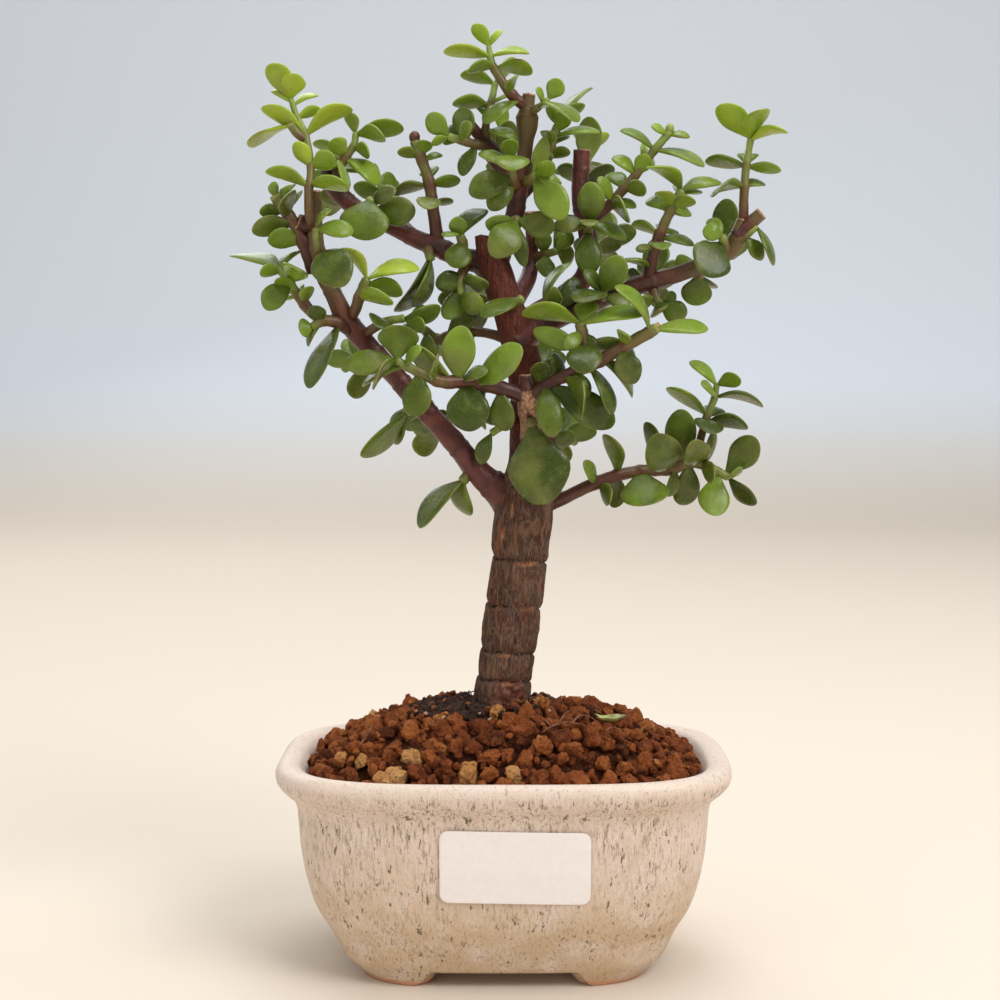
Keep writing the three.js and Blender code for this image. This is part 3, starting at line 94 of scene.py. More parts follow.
# Leafy shoots, each a name, its stem's points (x, y, z, radius) and its leaves. A leaf is its place along
# the stem from 0 to 1, its tip x, y, z, its width, and its turn about its own length in degrees: 0 looks
# along the stem and 90 looks to the front. Rows with one name are one spray.
SHOOTS = [
  ["left_tip", [[-53.6, -8.5, 205.5, 1.3], [-55, -12.3, 209, 1.3], [-55.3, -12.5, 216, 1.2], [-54.6, -10, 223, 1.1],
    [-55.3, -8, 229, 1.1], [-56.2, -7, 233, 1], [-58.6, -6, 238, 0.9], [-60, -6, 242.5, 0.7]],
    [[0.34, -67.5, -14, 222.3, 5, 25], [0.36, -41, -13, 217.7, 6, 30], [0.49, -59, -12, 230.5, 5, 60],
    [0.49, -48, -14, 226.8, 6, 65], [0.72, -68.5, -7, 239.8, 6, 30], [0.72, -42.6, -6, 239.6, 5.5, 30],
    [0.86, -51.5, -3, 239.4, 4, 30], [0.97, -65.3, -3, 244.8, 3.5, 40], [0.95, -52.2, -4, 243.4, 4, 30],
    [1, -68, -9, 250.7, 7, 62], [1, -55.6, -9, 249.6, 7, 66]]],
  ["left_tip", [[-56, -7.3, 231, 1.2], [-58.2, -7.6, 232.8, 1.3], [-60.2, -7, 235.6, 1.2]],
    [[0.9, -72.6, 3, 236.3, 4.6, 35]]],
  ["left_stub", [[-54, -8, 194, 2], [-55.8, -8.2, 199.5, 1.9], [-59, -8, 207, 1.7], [-62, -7, 211.5, 1.6],
    [-65, -7, 215.7, 1.5]], [[0.95, -65.4, -6, 219.5, 3.5, 60], [0.9, -60, -5, 219.8, 3.5, 55],
    [0.7, -57, -18, 212.6, 3.5, 40], [0.78, -69.3, -9, 211, 4.5, 50], [0.6, -71.5, -10, 205.6, 6, 60],
    [0.35, -67, -13, 203.6, 6.5, 60], [0.75, -58, 1, 216.8, 5, 50], [0.4, -60, 3, 203, 6, 20]]],
  ["left_low", [[-46, -6, 180.8, 1.8], [-51, -6, 180.5, 1.7], [-55.5, -6, 183.5, 1.6], [-58.5, -6, 187.5, 1.4],
    [-61, -6, 191, 1.1], [-64, -6, 195, 0.9]], [[1, -76, 8, 198.6, 4.5, 35], [0.98, -58.6, 0, 201.6, 4.5, 45],
    [0.95, -69.3, -11, 194.2, 4.5, 50], [0.8, -57, -15, 199.5, 8, 80], [0.78, -68, -10, 183.5, 7.5, 75],
    [0.6, -64.5, -13, 189, 4, 40], [0.5, -55.2, -11.5, 190, 4, 50], [0.6, -60, 5, 188, 7, 10]]],
  ["left_front", [[-52.8, -8.5, 198.7, 1.5], [-52.9, -13.5, 199.8, 1.4], [-53.2, -14.6, 206.3, 1.1]],
    [[0.36, -50.3, -21, 184.8, 12.5, 88], [0.98, -42.6, -16, 205.3, 5.6, 65], [1, -48.8, -16, 211.8, 3, 40]]],
  ["left_under", [[-44, -7, 177.6, 1.8], [-48.3, -9.5, 180, 1.7], [-52, -10.5, 180.2, 1.5],
    [-54.3, -10.5, 178.6, 1.2]], [[0.8, -54.2, -14, 184.6, 5.5, 75], [1, -58.5, -13, 178.4, 5.5, 65],
    [0.72, -61.2, -7, 171.2, 4.6, 50], [0.3, -55.5, -16, 161, 6.6, 66]]],
  ["star", [[-43.5, -7, 181.5, 1.7], [-42.3, -9.5, 183.5, 1.6], [-41, -10, 187.5, 1.5], [-39, -10, 192, 1.3]],
    [[1, -47.8, -14, 199, 4.6, 40], [1, -24, -10, 195, 6, 50], [0.85, -28.8, -12, 190, 6, 60],
    [0.55, -32.2, -20, 186.4, 5, 60]]],
  ["star_low", [[-40, -5, 176, 1.5], [-37.5, -8, 178, 1.4], [-34, -9, 180, 1.3], [-28.5, -9, 181, 1.1]],
    [[0.5, -36, -19, 178.5, 8.5, 40], [1, -18, -9, 184.3, 5, 50], [0.98, -21.5, -12, 178.6, 5, 50]]],
  ["limb_leaf_a", [[-25.5, -3, 157.5, 1.6], [-27.8, -5.5, 154.4, 1.4]], [[0.9, -41, -6, 141.5, 5.2, 30],
    [0.9, -32, 4, 146, 6, 60]]],
  ["limb_leaf_b", [[-9, -1.5, 138.5, 1.6], [-11.8, -3, 134.4, 1.4]], [[0.9, -24.5, -4, 121, 5.2, 30],
    [0.9, -11, 6, 125, 6.5, 60]]],
  ["left_high", [[-47.5, 7, 217.5, 1.7], [-47, 5, 222.5, 1.3], [-44.5, 5, 226.5, 1.2], [-42.3, 5.5, 229.8, 1.1],
    [-41.8, 6, 233, 0.8]], [[0.97, -33.8, -1, 231.8, 5, 50], [0.98, -28.2, 7, 234.2, 5.5, 50],
    [0.97, -44.5, 3, 239, 4.4, 40], [0.6, -48.8, 1, 231, 6, 70], [0.5, -54, 7, 230, 4, 40],
    [0.75, -38.2, -1, 227.5, 4.5, 50], [0.52, -35.4, 3, 218.6, 5.6, 65], [0.42, -40.4, -6, 221.8, 5, 50],
    [0.38, -53, 1, 223, 4, 50], [0.3, -40, 14, 222, 6, 20]]],
  ["left_round", [[-36.5, 5.5, 209, 1.7], [-37, 0.5, 212, 1.5], [-38, -3, 214.3, 1.2]], [[1, -40, -9, 203, 14, 88],
    [0.45, -25, -2, 211, 8.6, 75], [0.8, -30.5, -5, 217.4, 5, 50]]],
  ["upright_twig", [[-18.5, 3, 201, 2], [-20.3, 3, 213.5, 1.7], [-21, 3, 218.7, 1.6], [-23, 3, 225, 1.5],
    [-25.2, 3, 230.7, 1.5]], [[0.84, -30, 0, 228, 4.2, 40], [0.86, -21.5, -1, 230.8, 4.6, 60],
    [0.8, -17.3, 4, 226.8, 3.4, 40], [0.56, -31, 6, 215.8, 4.6, 35], [0.58, -12.3, 2, 220, 5, 40],
    [0.44, -22, -8, 211.8, 7, 60], [0.42, -14.5, 8, 213.5, 4.5, 20], [0.62, -21, 12, 223, 6, 10]]],
  ["limb_front", [[-22, 3.5, 201, 1.7], [-21.2, -0.5, 199.5, 1.4], [-20.8, -1.5, 197.6, 1.2]],
    [[1, -26.2, -5, 184.4, 3.8, 45], [0.8, -31, 3, 182.8, 5, 50]]],
  ["limb_top", [[-12, 1.5, 199.5, 1.6], [-11.6, -2, 202.2, 1.4], [-12.4, -3, 204.3, 1.2]],
    [[0.75, -14, -8, 195.2, 7.8, 80], [1, -13.5, -6, 209.7, 5.3, 85], [1, -17.2, -9, 204.2, 3, 20],
    [1, -5, 9, 206, 4, 40]]],
  ["hanging", [[-10.5, 1, 196.5, 1.6], [-12, -3, 193, 1.4], [-12.3, -4.5, 190.5, 1.2], [-12, -5, 188, 1]],
    [[0.45, -19.4, -6, 190.2, 6.5, 70], [0.8, -17, -8, 181.5, 6.6, 75], [1, -5, -7, 183.8, 6.6, 70],
    [0.6, -5.6, -10.5, 189.6, 4, 50], [1, -11.5, 0, 179.5, 5.5, 50]]],
  ["top_right", [[5.9, -0.5, 240.3, 1.5], [1.5, -2, 244.5, 1.5], [-1, -2.5, 248, 1.3], [-3.3, -2.5, 252, 1.1],
    [-4.3, -2.5, 257, 0.7]], [[1, -8.7, -4, 263, 4.6, 60], [1, -0.5, -2, 261.5, 3.2, 40],
    [0.86, -17, -4, 255.5, 5, 30], [0.86, 7.2, -3, 255, 5, 30], [0.7, -10, -9, 250.6, 4, 30],
    [0.68, 7.3, 4, 251.5, 4.5, 20], [0.25, 3.5, -9, 248.5, 3.2, 50], [0.1, -5, -9, 235.5, 5, 60]]],
  ["top_left", [[-4.6, 2.5, 229.8, 1.3], [-5.2, 1, 233, 1.2], [-4.8, 1, 237, 1.1], [-3.5, 3, 242, 1.1],
    [-2.5, 5, 246.5, 0.9]], [[1, -12.3, 6, 249, 4.6, 30], [1, 5.5, 10, 252, 5, 40], [0.62, -14.5, -1, 241.3, 5, 30],
    [0.65, 1.5, 6, 243.5, 3.5, 20], [0.2, 3, -6, 231.3, 4.5, 40], [0.4, -6, 12, 240, 6, 10]]],
  ["top_stalk", [[6.6, 0, 238.5, 1.5], [9.5, -2.5, 240, 1], [12.5, -3, 242.3, 0.8]], [[1, 15.8, -4, 248, 5.6, 80],
    [0.5, 20.5, -14, 236, 4.5, 40], [0.8, 9, -9, 245, 3.5, 40]]],
  ["pruned_twig", [[-4, 1.5, 229, 1.5], [-8.5, -2, 230, 1.3], [-12, -3, 231, 1.2], [-15.5, -3, 232, 1]],
    [[1, -22.5, -2, 236.8, 6.5, 60], [0.6, -12.5, -5, 240, 7, 65], [0.75, -9, -10, 235.5, 4.5, 60],
    [1, -20.5, -4, 229.8, 3.5, 30], [0.35, -11.7, -4, 221, 5, 55], [0.7, -13, 6, 236, 6, 20]]],
  ["crown_mid", [[5, 2, 215.5, 1.8], [9.5, 5, 221, 1.7], [12.5, 5, 227, 1.5], [13.7, 4, 231, 1.3], [15, 4, 235, 1.1]],
    [[1, 22.8, 2, 241, 4.5, 35], [0.85, 27, 4, 233.3, 5, 30], [0.9, 18.5, -2.5, 240.5, 6, 75],
    [0.95, 24.5, 13, 245, 4, 20], [1, 11, 1, 239, 4, 30], [0.75, 10.4, -2, 233.6, 4, 40],
    [0.6, 10.2, -3, 226.8, 4, 40], [0.6, 18.8, 4, 227.8, 4.5, 40], [0.75, 16, 16, 232, 6, 10],
    [0.45, 14, 15, 222, 6, 20]]],
  ["crown_front", [[4.3, 0, 217.5, 1.7], [2.6, -4.5, 219.5, 1.4], [2.2, -6, 223, 1.2], [2.4, -6.5, 226.2, 1]],
    [[1, 2.2, -17, 222.6, 9.6, 0], [0.5, -9.8, -10, 216, 8.2, 75], [0.75, -8.3, -9, 223.4, 5, 50],
    [0.3, -4.2, -6, 211.6, 6.6, 76], [0.9, -1.4, -9.5, 231.4, 5.6, 76]]],
  ["crown_right", [[4.4, 0, 220, 1.6], [7.5, -4, 220, 1.4], [9, -5.5, 221.2, 1.1]], [[0.85, 17.2, -10, 209, 9.2, 85],
    [1, 15, -7, 219.6, 4.4, 50], [1, 15.2, -12, 224, 4, 50], [0.8, 11.8, -5, 232, 4.6, 76],
    [1, 18.8, -2, 225.2, 4.8, 60]]],
  ["crown_low", [[2.8, 0, 208.5, 1.7], [3.6, -5.5, 208.6, 1.3]], [[0.95, -3.3, -12, 198.4, 9.4, 86],
    [0.8, -5.3, -9.5, 208, 5, 50], [0.7, 5.8, -6, 195.6, 4.6, 80], [1, 14.5, -5, 206.5, 7.5, 70]]],
  ["crown_hollow", [[7.8, 13.5, 198, 1.5], [11.5, 11, 199, 1.3], [15, 9, 200, 1]], [[0.5, 10.8, 10, 206, 5, 76],
    [1, 18.5, 10, 206, 5.5, 76], [1, 20.6, 13, 197.5, 6, 76], [0.6, 12, 6, 192.6, 5.5, 76],
    [0.9, 16, 18, 206, 6, 30]]],
  ["right_tall", [[23.2, 4.5, 207.5, 1.7], [30, 3, 213, 1.5], [33.5, 2, 217, 1.4], [37, 1, 221, 1.3],
    [42.3, 0, 228, 1.2], [46.8, -1, 233.3, 1.1]], [[0.97, 41.5, -3, 235, 3.6, 35], [0.97, 52.5, -2, 231.8, 3.6, 35],
    [0.81, 32.7, 0, 233.8, 4.6, 35], [0.81, 56.7, -3, 223.6, 5.2, 40], [0.56, 30.5, 1, 226.2, 4.6, 55],
    [0.56, 40.6, -3, 227, 5, 65], [0.42, 30, 9, 221.8, 6, 60], [0.42, 40.2, -5, 217.6, 5, 60],
    [0.28, 26.6, -1, 220.6, 5, 60], [0.28, 37.5, 0, 212.2, 4, 45], [0.25, 34.8, -10, 210.2, 4, 50],
    [0.65, 40, 11, 229, 6, 0]]],
  ["right_mid", [[24, 5, 204.5, 1.5], [24, 1.5, 206, 1.3], [24.3, -0.5, 207.5, 1.1]], [[0.9, 13.8, -2, 206.3, 5.4, 65],
    [0.9, 35.3, -1, 205.3, 4.5, 35], [0.8, 24.3, -9, 207, 5, 10], [1, 24.6, -5, 219.5, 7.8, 88],
    [0.5, 24.2, -3, 193, 7.8, 88]]],
  ["right_in", [[28, 0, 187, 1.7], [28.2, -4.7, 187.6, 1.3], [28, -6, 188.6, 1.1]], [[1, 33.6, -11, 198.6, 8, 85],
    [0.8, 25.8, -10, 195, 3.6, 60], [0.7, 20.8, -18, 185.6, 4, 50], [0.8, 36.4, -5, 192.6, 3, 50],
    [0.7, 36, -5.5, 184, 4.5, 55]]],
  ["right_arch", [[17, -1, 182, 1.6], [15.5, -5.5, 183.4, 1.3], [11.6, -6.5, 184, 1.1]], [[1, 19.2, -6, 196.8, 3, 40],
    [0.5, 21, -7.5, 192.6, 6, 86], [0.6, 14.4, -11, 191.3, 4.6, 80]]],
  ["right_high", [[41, 0, 192, 1.8], [42, -1, 197, 1.7], [44, -2, 204, 1.6], [45.4, -2, 207.5, 1.5],
    [47.8, -2, 212.5, 1.3], [50.2, -2, 217, 1.1]], [[1, 41, -11, 223.4, 4.6, 35], [1, 61.2, 3, 219.4, 5, 40],
    [0.8, 43.8, -9, 216.6, 4.4, 45], [0.8, 54, -8, 214.4, 4.4, 45], [0.74, 41, 6, 214.4, 6.5, 65],
    [0.74, 52.4, 5, 211.2, 5, 55], [0.47, 34.6, -1, 207.8, 4.4, 35], [0.45, 54, -3, 201.6, 4.4, 35],
    [0.34, 45, -12, 200.4, 6, 30], [0.34, 37.4, -3, 200.3, 3.4, 40], [0.12, 30.8, -11, 202.6, 4, 50],
    [0.5, 47, 9, 205, 6, 10], [0.95, 53, 12, 216, 6, 10]]],
  ["far_right", [[67.9, -2, 206, 1.5], [68, -2, 216, 1.3], [68.5, -1, 223.5, 1.1], [69.7, 0, 231.5, 0.9]],
    [[1, 60.3, -4, 240.6, 7, 60], [1, 73.3, -11, 239.6, 6.6, 66], [0.97, 79.8, -5, 235.3, 3.6, 35],
    [0.97, 72.6, 3, 236.6, 3, 40], [0.69, 57, 7, 224.6, 4.4, 30], [0.69, 78.4, -2, 222.4, 4.4, 30],
    [0.46, 58.4, -9, 217.8, 4.6, 40], [0.46, 73.6, 3, 218.8, 4, 40], [0.7, 69, 9, 226, 6, 0]]],
  ["right_round", [[63, -1, 199.5, 1.7], [62.5, -5, 201.8, 1.4], [62, -7, 204, 1.1]], [[0.7, 56.2, -13, 193.4, 12, 88],
    [1, 56.4, -8, 206, 5.5, 65], [1, 58.4, -4, 210, 4.4, 50]]],
  ["right_end", [[66, -2, 202.6, 1.3], [69.5, -3.5, 205, 1.1], [71.6, -4, 206.8, 0.9]], [[1, 76.6, -6, 195.8, 3.6, 50],
    [0.4, 74.4, -3, 198, 5, 65]]],
  ["right_under", [[42.3, 0, 190, 1.5], [43.2, -1.5, 187, 1.3], [44.2, -2, 185.2, 1.1]], [[1, 52, -5, 181.6, 6.8, 75],
    [0.8, 49, 2, 188.6, 4.4, 60], [0.6, 37.4, -3, 184.8, 4.4, 50], [0.8, 43.4, -11, 183, 4, 40]]],
  ["right_back", [[55.5, -1, 195, 1.6], [55.5, 2.5, 193, 1.4]], [[0.9, 54, 3.5, 184.6, 9, 86],
    [0.9, 58, 15, 190, 6, 30], [0.9, 49.6, 8, 199, 5.5, 60]]],
  ["front_left", [[5.5, -10.5, 159, 2.3], [0.5, -12, 160.7, 2.1], [-4, -13, 161.7, 1.9], [-12.5, -15, 163, 1.8],
    [-18, -17, 163, 1.7], [-22, -18, 164.5, 1.5], [-27, -18, 167, 1.3], [-30.5, -18, 169, 1.1]],
    [[0.5, -12, -19, 179, 9.5, 85], [0.48, -4.5, -20, 166, 3.5, 40], [0.55, -27.3, -14, 173.5, 6, 60],
    [0.38, 5.4, -22, 172.5, 8.5, 70], [0.68, -21.5, -27, 170, 4.5, 40], [0.44, -9.5, -19, 148.7, 12, 88],
    [0.3, -5.5, -9, 149.4, 3.4, 60], [0.18, 0.3, -15, 149, 7, 80], [1, -45.3, -18, 168, 7.5, 70],
    [1, -41.5, -26, 165, 4.5, 60], [1, -30, -21, 180, 11, 85], [0.92, -41, -14, 160.5, 4, 50],
    [0.92, -23.5, -22, 172.8, 4.5, 40], [0.82, -25.5, -20, 153, 8.2, 85], [0.6, -20, -8, 167, 6, 20]]],
  ["front_right", [[7, -10.5, 158.5, 2], [10.5, -12, 161.3, 1.9], [14, -12, 163, 1.8], [20, -13, 165.8, 1.8],
    [27, -14, 168.8, 1.9], [33, -15, 172.3, 1.8], [41, -16, 176.8, 1.7], [44.5, -17, 178.7, 1.3]],
    [[0.92, 31.5, -20, 190, 4.4, 50], [0.95, 58.3, -17, 178, 5.4, 30], [0.7, 37.3, -18, 162.3, 7.6, 85],
    [0.55, 39.2, -9, 160.6, 5, 60], [0.46, 33.4, -18, 155.3, 4.6, 50], [0.36, 23.6, -16.5, 158.4, 5.5, 60],
    [0.28, 26, -25, 154.2, 6, 66], [0.16, 31.6, -8, 150.6, 9.4, 84], [0.14, 14, -20, 147, 7.4, 88],
    [0.12, 8.4, -18, 168.2, 5.6, 80], [0.2, 15, -7, 171, 5, 50], [0.72, 33.5, -22, 177, 4.5, 40],
    [0.72, 36, -5, 172, 6, 20]]],
  ["front_right", [[23.5, -13.5, 167.5, 1.9], [23, -13, 173, 1.8], [21.8, -13, 179.5, 1.4]],
    [[0.98, 5, -14, 182.4, 5.6, 60], [0.98, 40.6, -15, 182.4, 5, 55], [0.5, 23, -24, 165.3, 10, 60],
    [1, 22.5, -6, 186, 7, 40], [0.8, 17.6, -18, 172.4, 4.6, 80], [0.8, 25.8, -17, 172.6, 4.4, 80],
    [0.4, 6.8, -15, 171.2, 6.4, 76], [0.5, 35.6, -11, 174.4, 5, 60]]],
  ["big_front", [[7.4, -8.5, 150.5, 1.8], [8, -13.3, 151, 1.7]], [[0.95, 11.2, -17, 127.6, 16.6, 89]]],
  ["trunk_top", [[2, -3, 184, 1.7], [4, -8.2, 185.8, 1.4], [5.2, -9, 186.5, 1.2]], [[1, -6.4, -16, 181.4, 4.4, 65]]],
  ["trunk_left", [[4.5, -3, 152.5, 1.5], [0, -6.8, 150.5, 1.2], [-3.5, -8, 148.3, 1]], [[1, -16.2, -9, 141.3, 6.4, 60],
    [1, -7, -13, 138.5, 5.5, 70], [0.6, -6, -3, 157, 5, 40]]],
  ["back_left", [[1.5, 2, 175, 1.6], [-6, 5, 177, 1.4], [-13, 7, 177, 1.5], [-19, 8, 175, 1.7], [-23, 6, 178, 1.2]],
    [[1, -25.5, 2, 185, 6, 60], [0.7, -9, 3, 183, 6.5, 60], [0.4, -9.5, 1, 169.5, 3, 40], [1, -31, 9, 176, 6, 20],
    [0.8, -17, 16, 172, 6.5, 20], [0.95, -20, 3, 168, 5.5, 50]]],
  ["right_low", [[12, 1, 127.5, 2.3], [18, 0, 130, 1.9], [25, 0, 133.3, 1.8], [32, 0, 136, 1.8], [40, 1, 137.5, 1.7],
    [48, 1, 138, 1.7], [53, 1, 140, 1.6], [58, 0, 139, 1.4], [62, 0, 137, 1.2], [64.5, 0, 135.5, 1]],
    [[0.28, 22.8, -6, 140, 5, 40], [0.3, 30.5, -8, 128.3, 5, 50], [0.4, 29, -4, 148, 5, 60],
    [0.52, 41, -12, 127.5, 14, 88], [0.4, 31, 6, 127, 6, 50], [0.66, 43, -13, 148, 11, 85],
    [0.6, 40.5, 4, 151.5, 5.5, 40], [0.72, 47, -5, 155, 9, 80], [0.8, 51, -9.5, 151.5, 8.5, 80],
    [0.86, 60, -3, 149, 4.5, 40], [0.84, 60.5, -9, 135.5, 5, 60], [0.98, 72.3, -5, 147, 8.7, 75],
    [1, 67.5, -7, 138.5, 4.5, 40], [1, 72.6, -1, 127.7, 4.5, 40], [0.94, 60.5, -7, 124.5, 9, 85],
    [0.78, 51.5, 7, 127.5, 8, 80], [0.7, 47, -1, 130, 4.5, 60]]],
  ["right_low", [[54.5, 1, 139, 1.5], [56.5, 1, 147, 1.2], [58.3, 1, 153.5, 1.1], [60.3, 1, 158.5, 1],
    [60.8, 1, 162, 0.8]], [[0.62, 46.6, -1, 161.3, 5, 40], [0.5, 70, -4, 150, 5.8, 50], [0.55, 56, -13, 149, 6.5, 60],
    [0.85, 53.5, -4, 160, 4.5, 50], [1, 67.5, -5, 164, 5.5, 60], [0.85, 74.5, 0, 158.6, 4.2, 35],
    [1, 53, 3, 168.8, 5, 40], [0.6, 61, 11, 155, 6, 10]]],
]

# Shoots at the back of the crown, each its root on a limb, the way it grows and its length.
BACK_SHOOTS = [
  [[-24, 5, 203.5], [-0.5, 0.8, 0.45], 30], [[-41, 7, 212], [-0.4, 0.9, 0.25], 27],
  [[4, 1, 214], [-0.15, 0.85, 0.6], 32], [[24, 7, 200], [0.25, 0.95, 0.1], 30], [[22, 7, 216], [0.15, 0.85, 0.5], 27],
  [[38, 1, 190.5], [0.3, 0.95, 0.05], 32], [[60, 0, 197.5], [0.25, 0.9, 0.2], 27],
  [[-34, -2, 168], [-0.35, 0.9, -0.1], 34], [[-18, -1, 150], [-0.2, 0.95, -0.1], 30],
  [[8, 4, 166], [0.1, 0.95, -0.05], 32], [[9, 6, 146], [0.35, 0.9, -0.1], 30], [[3, 4, 186], [-0.5, 0.85, -0.1], 30],
]

# How a leaf may give way to what is already there: swing and lift in degrees, and its share of full size.
POSES = [
  [0, 0, 1], [0, 12, 1], [0, -12, 1], [12, 0, 1], [-12, 0, 1], [0, 25, 1], [0, -25, 1], [22, 12, 0.95],
  [-22, 12, 0.95], [22, -12, 0.95], [-22, -12, 0.95], [0, 0, 0.82], [0, 40, 0.85], [0, -40, 0.85], [36, 0, 0.85],
  [-36, 0, 0.85], [0, 15, 0.66], [0, -15, 0.66], [30, 30, 0.66], [-30, 30, 0.66], [30, -30, 0.66], [-30, -30, 0.66],
  [0, 55, 0.66], [0, -55, 0.66],
]


class Draws:
    """A seeded run of draws between 0 and 1, the same one that the part's source makes."""

    # The largest 32-bit number, and the odd step of the state.
    FULL = 0xFFFFFFFF
    STEP = 0x6D2B79F5

    def __init__(self, seed: int) -> None:
        """Starts the run at a seed."""
        self.state = seed & self.FULL

    def __call__(self) -> float:
        """The next draw: the state goes up by a fixed odd step, and its bits are mixed by shifts and products."""
        self.state = (self.state + self.STEP) & self.FULL
        t = self.state
        t = ((t ^ (t >> 15)) * (t | 1)) & self.FULL
        t ^= (t + (((t ^ (t >> 7)) * (t | 61)) & self.FULL)) & self.FULL
        return ((t ^ (t >> 14)) & self.FULL) / (self.FULL + 1)


def unit(v: Array) -> Array:
    """Vectors along the last axis, each divided by its length."""
    return v / np.maximum(np.linalg.norm(v, axis=-1, keepdims=True), 1e-12)


def seen(points: Array) -> Array:
    """Moves points read in the plane of the trunk back or forward along their line of sight.

    Args:
        points: rows of x, y, z, where y is the true depth.

    Returns:
        The true points: x and z spread from the eye's own by one plus the depth over the eye's distance.
    """
    p = np.array(points, float)
    scale = 1 + p[..., 1] / EYE_DISTANCE
    p[..., 0] = EYE_X + (p[..., 0] - EYE_X) * scale
    p[..., 2] = EYE_Z + (p[..., 2] - EYE_Z) * scale
    return p


def ease(low: float, high: float, value: Array) -> Array:
    """0 below low, 1 above high, and the curve 3t^2 - 2t^3 between."""
    t = np.clip((np.asarray(value, float) - low) / (high - low), 0, 1)
    return t * t * (3 - 2 * t)


def bell(value: Array, width: float) -> Array:
    """1 at a value of 0, falling to both sides over a width as e to the power -(value / width)^2."""
    return np.exp(-((value / width) ** 2))


def turns(count: int) -> Array:
    """Evenly spaced angles once round, in radians."""
    return np.linspace(0, 2 * np.pi, count, endpoint=False)


def lengths(points: Array) -> Array:
    """The length of a line of points up to each of them."""
    return np.concatenate([[0], np.cumsum(np.linalg.norm(np.diff(points, axis=0), axis=1))])


def evenly(line: Array, count: int) -> Array:
    """Points of x, y at equal steps along a closed line, whose last point is its first."""
    length = lengths(line)
    at = np.linspace(0, length[-1], count, endpoint=False)
    return np.stack([np.interp(at, length, line[:, k]) for k in (0, 1)], -1)


def lumps(points: Array, size: float, seed: int) -> Array:
    """Smooth random values from -1 to 1 that change over a given size.

    The eight corners of a cube lattice around a point hold drawn values, blended by the eased share of the way.

    Args:
        points: rows of x, y, z.
        size: side of a lattice cube, in the same unit as the points.
        seed: number of the pattern.

    Returns:
        One value a point.
    """
    values = 4096
    table = np.random.default_rng(seed).uniform(-1, 1, values)
    p = np.asarray(points, float) / size
    base = np.floor(p).astype(np.int64)
    f = ease(0, 1, p - base)
    total = np.zeros(p.shape[:-1])
    for corner in range(8):
        step = np.array([corner & 1, corner >> 1 & 1, corner >> 2 & 1])
        key = (base + step) * np.array([73856093, 19349663, 83492791])
        value = table[(key[..., 0] ^ key[..., 1] ^ key[..., 2]) & (values - 1)]
        total += value * np.prod(np.where(step, f, 1 - f), axis=-1)
    return total


def smooth_path(knots: Array, step: float) -> Array:
    """Carries rows of values smoothly through knots.

    Each stretch is a cubic with the knots' own values and slopes, and the slopes are those of the path by its
    length through x, y, z.

    Args:
        knots: rows that start with x, y, z.
        step: distance between the new rows.

    Returns:
        The new rows, evenly spaced along the path.
    """
    knots = np.asarray(knots, float)
    s = lengths(knots[:, :3])
    slope = np.gradient(knots, s, axis=0)
    at = np.linspace(0, s[-1], max(3, int(math.ceil(s[-1] / step)) + 1))
    i = np.clip(np.searchsorted(s, at, "right") - 1, 0, len(s) - 2)
    h = (s[i + 1] - s[i])[:, None]
    f = (at - s[i])[:, None] / h
    return ((2 * f**3 - 3 * f**2 + 1) * knots[i] + (f**3 - 2 * f**2 + f) * h * slope[i]
            + (3 * f**2 - 2 * f**3) * knots[i + 1] + (f**3 - f**2) * h * slope[i + 1])


@dataclass
class Shell:
    """A closed surface with values kept on its points.

    Attributes:
        points: rows of x, y, z in mm.
        quads: rows of four point numbers.
        triangles: rows of three point numbers.
        tint: one value a point that its finish colours by.
        rim: a second such value, near 1 at an edge.
        look: which of the piece's finishes it takes.
        smooth: whether light runs smoothly over its faces.
    """

    points: Array
    quads: Array
    triangles: Array
    tint: Array
    rim: Array
    look: int = 0
    smooth: bool = True

    def outward(self) -> "Shell":
        """Turns the faces to point outwards, by the sign of the volume that they enclose."""
        a = self.quads[:, [0, 1, 2]]
        b = self.quads[:, [0, 2, 3]]
        p = self.points[np.concatenate([a, b, self.triangles])]
        if np.einsum("ij,ij->", p[:, 0], np.cross(p[:, 1], p[:, 2])) < 0:
            self.quads = self.quads[:, ::-1]
            self.triangles = self.triangles[:, ::-1]
        return self


NO_TRIANGLES = np.zeros((0, 3), np.int64)
NO_QUADS = np.zeros((0, 4), np.int64)


def grid_quads(rows: int, columns: int, round_rows: bool = False) -> Array:
    """The quads of a grid of points whose columns close on themselves, and its rows too if asked."""
    i = np.arange(rows if round_rows else rows - 1)[:, None]
    j = np.arange(columns)[None, :]
    a, b = i * columns + j, i * columns + (j + 1) % columns
    c, d = (i + 1) % rows * columns + (j + 1) % columns, (i + 1) % rows * columns + j
    return np.stack([a, b, c, d], -1).reshape(-1, 4)


def ring_stack(rings: Array, start: Array, end: Array, tint: Array | float = 0.0, rim: Array | float = 0.0,
               look: int = 0) -> Shell:
    """A closed surface over a stack of rings, with a point to close each end.

    Args:
        rings: points as (ring, place round it, xyz).
        start: the point before the first ring.
        end: the point after the last ring.
        tint: value by ring and place, or one for all.
        rim: value by ring and place, or one for all.
        look: which finish it takes.

    Returns:
        The shell, faces outwards.
    """
    m, n = rings.shape[:2]
    last = m * n + 1
    j = np.arange(n)
    k = (j + 1) % n
    fans = np.concatenate([np.stack([0 * j, 1 + k, 1 + j], -1),
                           np.stack([0 * j + last, last - n + j, last - n + k], -1)])
    values = []
    for value in (tint, rim):
        value = np.broadcast_to(np.asarray(value, float), (m, n))
        values.append(np.concatenate([[value[0].mean()], value.ravel(), [value[-1].mean()]]))
    points = np.concatenate([[start], rings.reshape(-1, 3), [end]])
    return Shell(points, grid_quads(m, n) + 1, fans, *values, look).outward()


